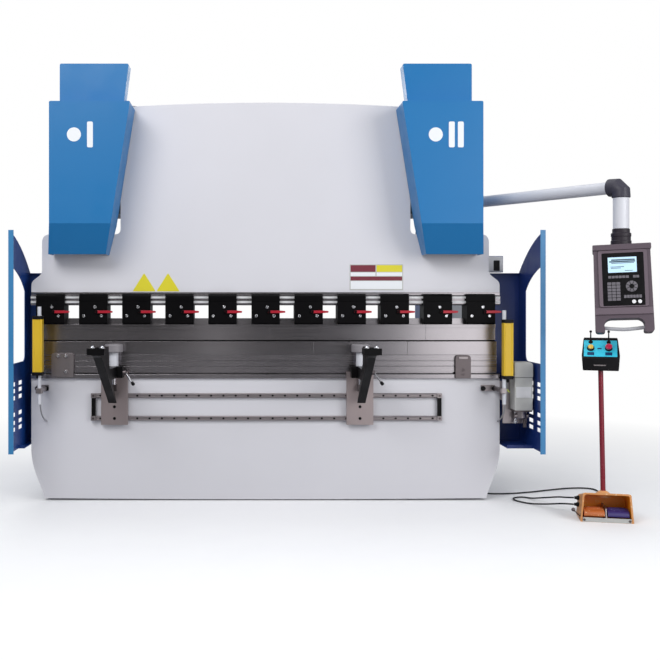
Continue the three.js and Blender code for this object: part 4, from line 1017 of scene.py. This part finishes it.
def carriage(word):
    low, high = span(f"support_carriage_{word}")
    x = (low.x + high.x) / 2
    shape = Shape()
    face = plate((low.x, high.x), (409, 690), 3, 6)
    shape.prism("y", face, (-38.6, -20.6), CARRIAGE_STEEL)
    for z in (443, 505):
        shape.screw((x, -38.2, z), TO_FRONT, 8, 3, BLACK_PAINT)
    shape.rod((x, POST_Y, 590), (x, POST_Y, high.z), 10, CHROME)
    shape.lathe((x, POST_Y, high.z - 1), UP, [(10, 0), (8, 3)], CHROME)
    shape.block((x - 16, x + 16), (-72, -38), (590, 625), DARK_STEEL)
    shape.piece(f"carriage_{word}_plate", f"carriage_{word}", "carriage_steel", 1.2,
                [f"support_carriage_{word}"])


def support_arm(word, turn):
    """The black arm: a sloping web, a T-shaped nose with two ball tips, the clamp, its handle."""
    low, high = span(f"support_carriage_{word}")
    place = moved(MACHINE, ((low.x + high.x) / 2, POST_Y, 0), (turn, "Z"))
    rear, nose, back, top = -15, -460, -240, 838
    body = f"support_{word}"
    arm = Shape(place)
    web = outline([
        (rear - 10, 531), (back + 75, 662, 12), (rear, 662), (rear, 722), (back + 30, 722, 14),
        (back, 752, 14), (back, top), (nose + 6, top), (nose + 6, top - 34),
        (nose + 46, top - 44, 10), (rear - 24, 531),
    ])
    arm.prism("x", web, (-21, 21), BLACK_PAINT)
    arm.block((-43, 43), (nose, nose + 85), (top - 32, top), BLACK_PAINT)
    for dx in (-24, 24):
        arm.lathe((dx, nose + 42, top - 2), UP, [(14, 0), (14, 5), (12, 6)], BRIGHT_STEEL)
        arm.ball((dx, nose + 42, top + 2), 10, CHROME)
    arm.piece(f"arm_{word}", body, "arm_black", 2, [f"support_arm_{word}"])

    clamp = Shape(place)
    clamp.block((-52, 52), (-35, rear), (662, 722), BLACK_PAINT)
    for xs in ((-52, -11), (11, 52)):
        clamp.block(xs, (rear - 1, 15), (662, 722), BLACK_PAINT)
    sleeve = [(24, 722), (24, 797), (10.8, 797), (10.8, 664)]
    clamp.lathe((0, 0, 0), UP, sleeve, TUBE_SILVER, 32)
    disc = [(44, 796), (48, 799), (48, 833), (44, 838)]
    clamp.lathe((0, 0, 0), UP, disc, DISC_GREY, 48)
    clamp.lathe((52, -21, 690), (1, 0, 0), [(13, 0), (13, 16), (9, 20)], DARK_STEEL)
    clamp.rod((66, -21, 690), (108, -39, 634), 4.5, BRIGHT_STEEL, 16)
    grip = [(6, 0), (8, 4), (9.5, 16), (7, 22)]
    clamp.lathe((101, -36, 643), (7, -3, -9.4), grip, BLACK_PLASTIC)
    clamp.piece(f"arm_clamp_{word}", body, "arm_black", 1.2)


def make_supports():
    support_track()
    for word, turn in (("left", -2.7), ("right", 0.8)):
        carriage(word)
        support_arm(word, turn)


# ---- Pendant ----


def pendant_arm():
    """A tube from the hub on the frame to a cast elbow, and a short drop tube under it."""
    level, drop_end = 1612, 1411.5
    over_pendant = PENDANT_TOP[:2]
    pivot = Vector((1130, 240, level))
    corner = Vector((*over_pendant, level))
    back = (pivot - corner).normalized()
    down = Vector((0, 0, -1))
    shape = Shape()
    hub = [(46, 0), (46, 12), (44, 16), (44, 90), (38, 97)]
    shape.lathe((*pivot.xy, 1560), UP, hub, ELBOW, 40)
    shape.rod(pivot - back * 30, corner + back * 40, 30, TUBE_SILVER, 40)
    shape.rod(corner + down * 40, (*over_pendant, drop_end), 37, TUBE_SILVER, 40)
    bend = [corner + back * 60, corner + back * 22, corner + down * 22, corner + down * 50]
    shape.tube(bend, 43, ELBOW, 40, 3)
    for start, along, radius in ((corner + back * 56, back, 37), (corner + down * 44, down, 42)):
        shape.lathe(start, along, [(radius, 0), (radius, 7), (radius - 3, 9)], ELBOW, 40)
    shape.piece("pendant_tube", "pendant_arm_body", "arm_tube", 1.5, ["pendant_arm"])


def pendant_socket():
    """The ribbed collar that the tube drops into."""
    shape = Shape(moved(MACHINE, PENDANT_TOP))
    rings = [(47, -10), (47, 30), (44, 33), (44, 50), (46, 52), (46, 66), (40, 70), (40, 87)]
    shape.lathe((0, 0, 0), UP, rings, SOCKET, 40)
    shape.piece("pendant_socket", "pendant_body", "pendant_grey", 0.8)


def pendant_housing():
    half = 55
    shape = Shape(PENDANT)
    sides = [
        (-129, -411, 16), (-84, -411, 14), (-90, -367, 14), (-72, -345, 18), (72, -345, 18),
        (90, -367, 14), (84, -411, 14), (129, -411, 16), (125, -8, 6), (-125, -8, 6),
    ]
    shape.prism("y", outline(sides, 5), (-half + 4, half), HOUSING)
    plane = PLANES["y"]
    bezel_outer = rounded_box(108, 134, 12, (2, -157))
    bezel_inner = rounded_box(92, 126, 5, (2, -161))
    levels = ((bezel_outer, -half + 5), (bezel_outer, -half - 1.5), (bezel_inner, -half + 1),
              (bezel_inner, -half + 5))
    rings = [[plane(*point, y) for point in ring] for ring, y in levels]
    shape.loft(rings, HOUSING_PALE, hoop=True)
    shape.prism("y", rounded_box(129, 13, 4, (0, -7)), (-half - 4, half + 4), HOUSING)
    band = outline([(-128, -327, 4), (128, -327, 4), (127, -296, 4), (-127, -296, 4)])
    shape.prism("y", band, (-half - 3, -half + 6), HOUSING_PALE)
    shape.prism("y", rounded_box(92.5, 126.5, 5, (2, -161)), (-half + 2, -half + 4.5), PANEL)
    for i in range(7):
        top = -114 - i * 14
        shape.block((-70, 70), (half - 0.5, half + 1.6), (top - 6, top), BLACK_PLASTIC)
    shape.piece("pendant_case", "pendant_body", "pendant_grey", 1.6, ["pendant_housing"])


PANEL_FRONT = -53


def panel_key(shape, x, z, half_x, half_z, material, height):
    """A flat key or plate on the pendant's panel."""
    points = rounded_box(half_x, half_z, 1.6, (x, z), 3)
    shape.prism("y", points, (PANEL_FRONT - height, PANEL_FRONT + 0.4), material)


def pendant_screen():
    shape = Shape(PENDANT)
    panel_key(shape, 0, -93, 66, 39, BLACK_PLASTIC, 1.0)
    panel_key(shape, 0, -92.5, 63, 36.5, SCREEN, 1.3)
    rows = ((-69, 52, 3.2, 4), (-77, 57, 3.2, 0), (-84, 50, 1.6, 2), (-102, 30, 1.4, -22),
            (-108, 22, 1.4, -28), (-121, 18, 1.4, 28))
    for z, half_x, half_z, x in rows:
        panel_key(shape, x, z, half_x, half_z, SCREEN_DARK, 1.5)
    shape.piece("pendant_screen", "pendant_body", "pendant_grey", 0.3)


def key_row(shape, count, x, pitch, z, half_x, half_z):
    """A row of equal keys from x on."""
    for i in range(count):
        panel_key(shape, x + i * pitch, z, half_x, half_z, KEY, 1.6)


def pendant_keys():
    """The membrane keys, the ring of keys and two round white buttons."""
    shape = Shape(PENDANT)
    root = PANEL_FRONT + 0.4
    key_row(shape, 6, -57, 15.4, -150, 6.6, 6)
    key_row(shape, 2, 51, 14, -150, 6.2, 6)
    for row in range(6):
        key_row(shape, 3, -60, 19.5, -181 - row * 15, 8.6, 6.4)
    start = Vector((38, root, -196))
    shape.lathe(start, TO_FRONT, [(26, 0), (26, 2), (24, 2.6)], KEY, 40)
    shape.lathe(start, TO_FRONT, [(11, 0), (11, 3.2)], PANEL, 32)
    for i in range(8):
        angle = math.radians(22.5 + i * 45)
        out = Vector((math.cos(angle), 0, math.sin(angle)))
        lift = Vector((0, -2.4, 0))
        shape.rod(start + out * 10 + lift, start + out * 25.5 + lift, 1.3, PANEL, 8)
    key_row(shape, 6, 8, 13.2, -244, 5.6, 7.2)
    for x in (45, 71):
        shape.lathe((x, root, -269), TO_FRONT, [(9, 0), (9, 3), (7.4, 4.4)], KEY_WHITE)
    shape.piece("pendant_keys", "pendant_body", "pendant_grey", 0.3)


def pendant_grip():
    bar = Shape(PENDANT)
    grip = [(-98, -12, -386), (-46, -13, -392), (0, -14, -395), (46, -13, -392), (98, -12, -386)]
    bar.tube(grip, 8.5, GRIP_SILVER, 16, 36)
    bar.piece("pendant_grip_bar", "pendant_body", "pendant_grey", 0.4)


def make_pendant():
    pendant_arm()
    pendant_socket()
    pendant_housing()
    pendant_screen()
    pendant_keys()
    pendant_grip()


# ---- Foot switch, pole and control box ----


SWITCH_FRONT = -120
SWITCH_BACK = 40


def switch_ring(y, inset, low):
    """The foot switch's outline across Y, less a margin: its roof falls towards the back."""
    height, fall, taper = 140, 37, 13
    roof = height - (y - SWITCH_FRONT) * fall / (SWITCH_BACK - SWITCH_FRONT) - inset
    half = 122 - inset
    slope = taper / height
    corners = [(-half + slope * low, low, 5), (half - slope * low, low, 5),
               (half - slope * roof, roof, 12), (-half + slope * roof, roof, 12)]
    return [PLANES["y"](*point, y) for point in outline(corners, 5)]


def foot_switch():
    """The pressed housing with its pale rim and orange lining, its fittings and adjusting knob."""
    front, back = SWITCH_FRONT, SWITCH_BACK
    shape = Shape(STAND)
    shell = [switch_ring(back - 6, 7, 9), switch_ring(front, 7, 9), switch_ring(front, -1, 0),
             switch_ring(front + 9, -1, 0), switch_ring(front + 9, 0, 0), switch_ring(back, 0, 0)]
    shape.loft(shell, RIM)
    lining = [switch_ring(back - 7.5, 8, 10), switch_ring(front + 4, 8, 10),
              switch_ring(front + 4, 6, 8), switch_ring(back - 4, 6, 8)]
    shape.loft(lining, ORANGE)
    shape.lathe((0, 0, 102), UP, [(38, 0), (38, 12), (26, 22), (14, 30)], RIM, 32)
    shape.piece("switch_housing", "machine", "switch_orange", 1, ["pedal_housing"])

    fittings = Shape(STAND)
    fittings.block((-111, 111), (front - 1, front + 5), (1, 21), GREY_ENAMEL)
    for x in (-104, 104):
        fittings.screw((x, front - 0.6, 11), TO_FRONT, 6, 3, DARK_STEEL)
    divider = outline([(front + 2, 2), (front + 20, 66, 8), (back - 8, 66, 8), (back - 8, 2)])
    fittings.prism("x", divider, (-5, 1), PLATE_STEEL)
    fittings.rod((-118, -100, 20), (-150, -108, 50), 3, DARK_STEEL, 12)
    fittings.ball((-153, -108, 54), 9.5, DARK_STEEL)
    for start, end in (((-109, -8, 92), (-136, -8, 92)), ((-112, -22, 62), (-139, -22, 62)),
                       ((22, 34, 60), (22, 56, 60))):
        run = Vector(end) - Vector(start)
        rings = [(11, 0), (11, run.length * 0.55), (8.5, run.length * 0.6), (6.5, run.length)]
        fittings.lathe(start, run, rings, BLACK_PLASTIC, 20)
    fittings.piece("switch_fittings", "machine", "switch_orange", 0.8)


def pedal(word, slot, xs, material):
    """A treadle with a rounded nose and grip ribs, on its shaft."""
    front = -113
    left, right = xs
    shape = Shape(STAND)
    profile = outline([(front, 24, 8), (0, 32), (8, 46), (-14, 52, 12), (-40, 57, 16),
                       (-84, 58, 18), (front, 46, 16)], 6)
    shape.prism("x", profile, xs, material)
    for i in range(4):
        y = -84 + i * 13
        shape.block((left + 14, right - 14), (y, y + 5), (54, 59), material)
    shape.rod((left + 0.5, 0, 42), (right - 0.5, 0, 42), 8, DARK_STEEL)
    shape.piece(f"treadle_{word}", f"pedal_body_{word}", slot, 6, [f"pedal_{word}"], 3)


def pole():
    """The pole leans from the middle of the foot switch to the middle of the control box."""
    shape = Shape(STAND)
    foot_z, top_z = 128, 726
    top = STAND.inverted() @ HEAD @ Vector((0, 0, top_z))
    shape.rod((0, 0, foot_z), top, 12, MAROON, 32)
    shape.piece("maroon_pole", "machine", "pole_maroon", 0.8, ["stand_pole"])


SLOPE_LOW = Vector((-52, 790))
SLOPE_HIGH = Vector((12, 876))
UP_SLOPE = (SLOPE_HIGH - SLOPE_LOW).normalized()
OFF_SLOPE = Vector((-UP_SLOPE.y, UP_SLOPE.x))
OFF_BOX = (0, *OFF_SLOPE)


def over_slope(x, along, off):
    """A point above the control box's sloping face: how far up it, and how far off it."""
    place = SLOPE_LOW + UP_SLOPE * along + OFF_SLOPE * off
    return Vector((x, place.x, place.y))


def slope_plate(shape, x, along, half_x, half_along, height, material):
    """A thin plate that lies on the sloping face."""
    points = rounded_box(half_x, half_along, 3, (x, along), 3)
    shape.loft([[over_slope(*point, off) for point in points] for off in (-0.5, height)], material)


# The X of the two controls of each row, and how far up the slope the rows are.
CONTROLS = {"left": -46, "right": 37}
BUTTON_ROW = 54
STALK_ROW = 90


def control_box():
    shape = Shape(HEAD)
    levels = [(725, -40, 38, 81), (729, -44, 40, 83), (786, -52, 40, 87), (800, -45, 40, 88),
              (876, 12, 40, 80), (884, 16, 38, 77)]
    rings = []
    for z, front, back, half in levels:
        ring = rounded_box(half, (back - front) / 2, 6, (0, (front + back) / 2), 3)
        rings.append([(*point, z) for point in ring])
    shape.loft(rings, BLACK_PLASTIC)
    slope_plate(shape, -1, 53, 77, 48, 1.2, CYAN)
    for x in CONTROLS.values():
        slope_plate(shape, x, 22, 16, 9, 2.0, NAVY)
        collar = [(17.5, 0), (17.5, 6), (16, 7), (11.5, 7), (11.2, 1)]
        shape.lathe(over_slope(x, BUTTON_ROW, -2), OFF_BOX, collar, BLACK_PLASTIC, 32)
        boot = [(10, 0), (10, 6), (7, 9)]
        shape.lathe(over_slope(x, STALK_ROW, -4), OFF_BOX, boot, BLACK_PLASTIC)
    slope_plate(shape, -5, 52, 10, 4, 2.0, NAVY)
    shape.prism("y", rounded_box(28, 3, 2, (-4, 752)), (-52, -44), PLATE_STEEL)
    shape.piece("control_case", "machine", "control_black", 1.2, ["control_box"])


def push_button(colour, node, x, height, radius, material):
    """A button's mushroom head on its stem, whose top is that high over the face."""
    shape = Shape(HEAD)
    stem = [(10, 0), (10, height - 12)]
    shape.lathe(over_slope(x, BUTTON_ROW, 5.4), OFF_BOX, stem, DARK_STEEL)
    rings = [(radius - 2, 0), (radius, 2), (radius, 5), (radius - 1.5, 7.5), (radius - 5, 9)]
    shape.lathe(over_slope(x, BUTTON_ROW, height - 9), OFF_BOX, rings, material, 32)
    shape.piece(f"{colour}_button", f"{node}_body", f"button_{colour}", 0.5, [node])


def stalk(word, x):
    root = over_slope(x, STALK_ROW, 10.3)
    knob = Vector((x, root.y, 915.5))
    shape = Shape(HEAD)
    shape.ball(root, 5, BLACK_PLASTIC)
    shape.lathe(root, UP, [(5, 0), (3.6, 12), (2.6, knob.z - root.z)], BLACK_PLASTIC, 16)
    shape.ball(knob, 6.4, BLACK_PLASTIC)
    shape.piece(f"stalk_{word}_knob", f"stalk_{word}", "stalk_black", 0.3, [f"stalk_lever_{word}"])


def make_stand():
    foot_switch()
    pedal("left", "pedal_orange", (-103, -9), PEDAL_ORANGE)
    pedal("right", "pedal_violet", (5, 103), PEDAL_VIOLET)
    pole()
    control_box()
    push_button("yellow", "start_button", CONTROLS["left"], 20, 13, BUTTON_YELLOW)
    push_button("red", "stop_button", CONTROLS["right"], 24, 16, BUTTON_RED)
    for word, x in CONTROLS.items():
        stalk(word, x)


# ---- Back of the machine ----


def cabinet_fittings():
    """The door's lock, hinges and vents."""
    low, _ = span("cabinet_door")
    lock_y = low.y + 40
    shape = Shape()
    shape.prism("x", rounded_box(14, 40, 6, (lock_y, 760)), (1349, 1354), BLACK_PLASTIC)
    shape.prism("x", rounded_box(7, 30, 5, (lock_y, 764)), (1353, 1362), BLACK_PLASTIC)
    for z in (440, 750, 1060):
        shape.lathe((1342, 1206, z - 30), UP, [(10, 0), (10, 60)], DARK_STEEL)
    for i in range(8):
        z = 430 + i * 18
        shape.block((1349.5, 1352), (820, 1060), (z, z + 8), BLACK_PLASTIC)
    shape.piece("door_fittings", "cabinet_door_body", "cabinet_grey", 0.8)


MOTOR_Y = 460
MOTOR_Z = 1930
MOTOR_RADIUS = 118


def motor_fins(shape):
    """Cooling fins all round the motor except at its foot."""
    foot, foot_half, pitch = 270, 40, 15
    for degrees in range(0, 360, pitch):
        if abs(degrees - foot) < foot_half:
            continue
        angle = math.radians(degrees)
        side, up = math.cos(angle), math.sin(angle)
        centre = Vector((0, MOTOR_Y + side * MOTOR_RADIUS, MOTOR_Z + up * MOTOR_RADIUS))
        across = Vector((0, -up, side)) * 1.6
        out = Vector((0, side, up)) * 9
        section = [centre - out - across, centre + out - across, centre + out + across,
                   centre - out + across]
        shape.loft([[point + Vector((x, 0, 0)) for point in section] for x in (-150, 130)],
                   UNIT_GREY)


def motor_fittings():
    """The pump motor's fins, cowl and box, the tank's cap and gauge, and the two pressure pipes."""
    y, z, radius = MOTOR_Y, MOTOR_Z, MOTOR_RADIUS
    shape = Shape()
    motor_fins(shape)
    cowl = [(radius, -50), (radius, 0), (radius - 8, 14), (60, 16)]
    shape.lathe((-222, y, z), (-1, 0, 0), cowl, UNIT_GREY, 40)
    shape.lathe((-10, y + 60, z + 96), (0, 0.5, 1), [(34, 0), (34, 34)], UNIT_GREY, 4)
    shape.lathe((-520, y, 1858), UP, [(52, 0), (52, 16), (44, 22)], BLACK_PLASTIC, 32)
    shape.block((-780, -740), (618, 626), (1600, 1760), BLACK_PLASTIC)
    shape.block((-772, -748), (625, 628), (1612, 1748), SCREEN_DARK)
    for side in SIDES.values():
        pipe = [(470, y, 1900), (470, y - 30, 2010), (470 + side * 60, y - 150, 2120),
                (side * 640 + 100, 240, 2130), (side * 840, 110, 2140), (side * 880, 88, 2140)]
        shape.tube(pipe, 9, DARK_STEEL, 12, 50)
    shape.piece("unit_fittings", "machine", "unit_grey", 1)


def gauge_fittings():
    """Lead screws beside the back gauge's rails, with a bearing block at each end."""
    z = 672
    shape = Shape()
    for x in (-545, 545):
        shape.rod((x, 162, z), (x, 858, z), 9, CHROME)
        for y in (150, 852):
            shape.block((x - 34, x + 34), (y, y + 18), (z - 20, z + 20), DARK_STEEL)
    shape.piece("gauge_screws", "machine", "gauge_steel", 0.8)


def make_back():
    for node in ("electrical_cabinet", "cabinet_door"):
        dress(node, CABINET, 1.5)
    cabinet_fittings()
    dress("hydraulic_unit", UNIT_GREY, 2)
    motor_fittings()
    for part in ("guide", "beam", "finger_left", "finger_right"):
        dress(f"backgauge_{part}", PLATE_STEEL, 1.2)
    gauge_fittings()


# ---- The whole ----

make_camera()
make_cord("pedal_cord", PEDAL_CABLE, "pedal_cable", 170)
make_cord("loop_cord", LOOP_CABLE, "loop_cable", 150)
make_lights()
make_world()
make_stage()
make_ram()
make_frame()
make_guards()
make_supports()
make_pendant()
make_stand()
make_back()
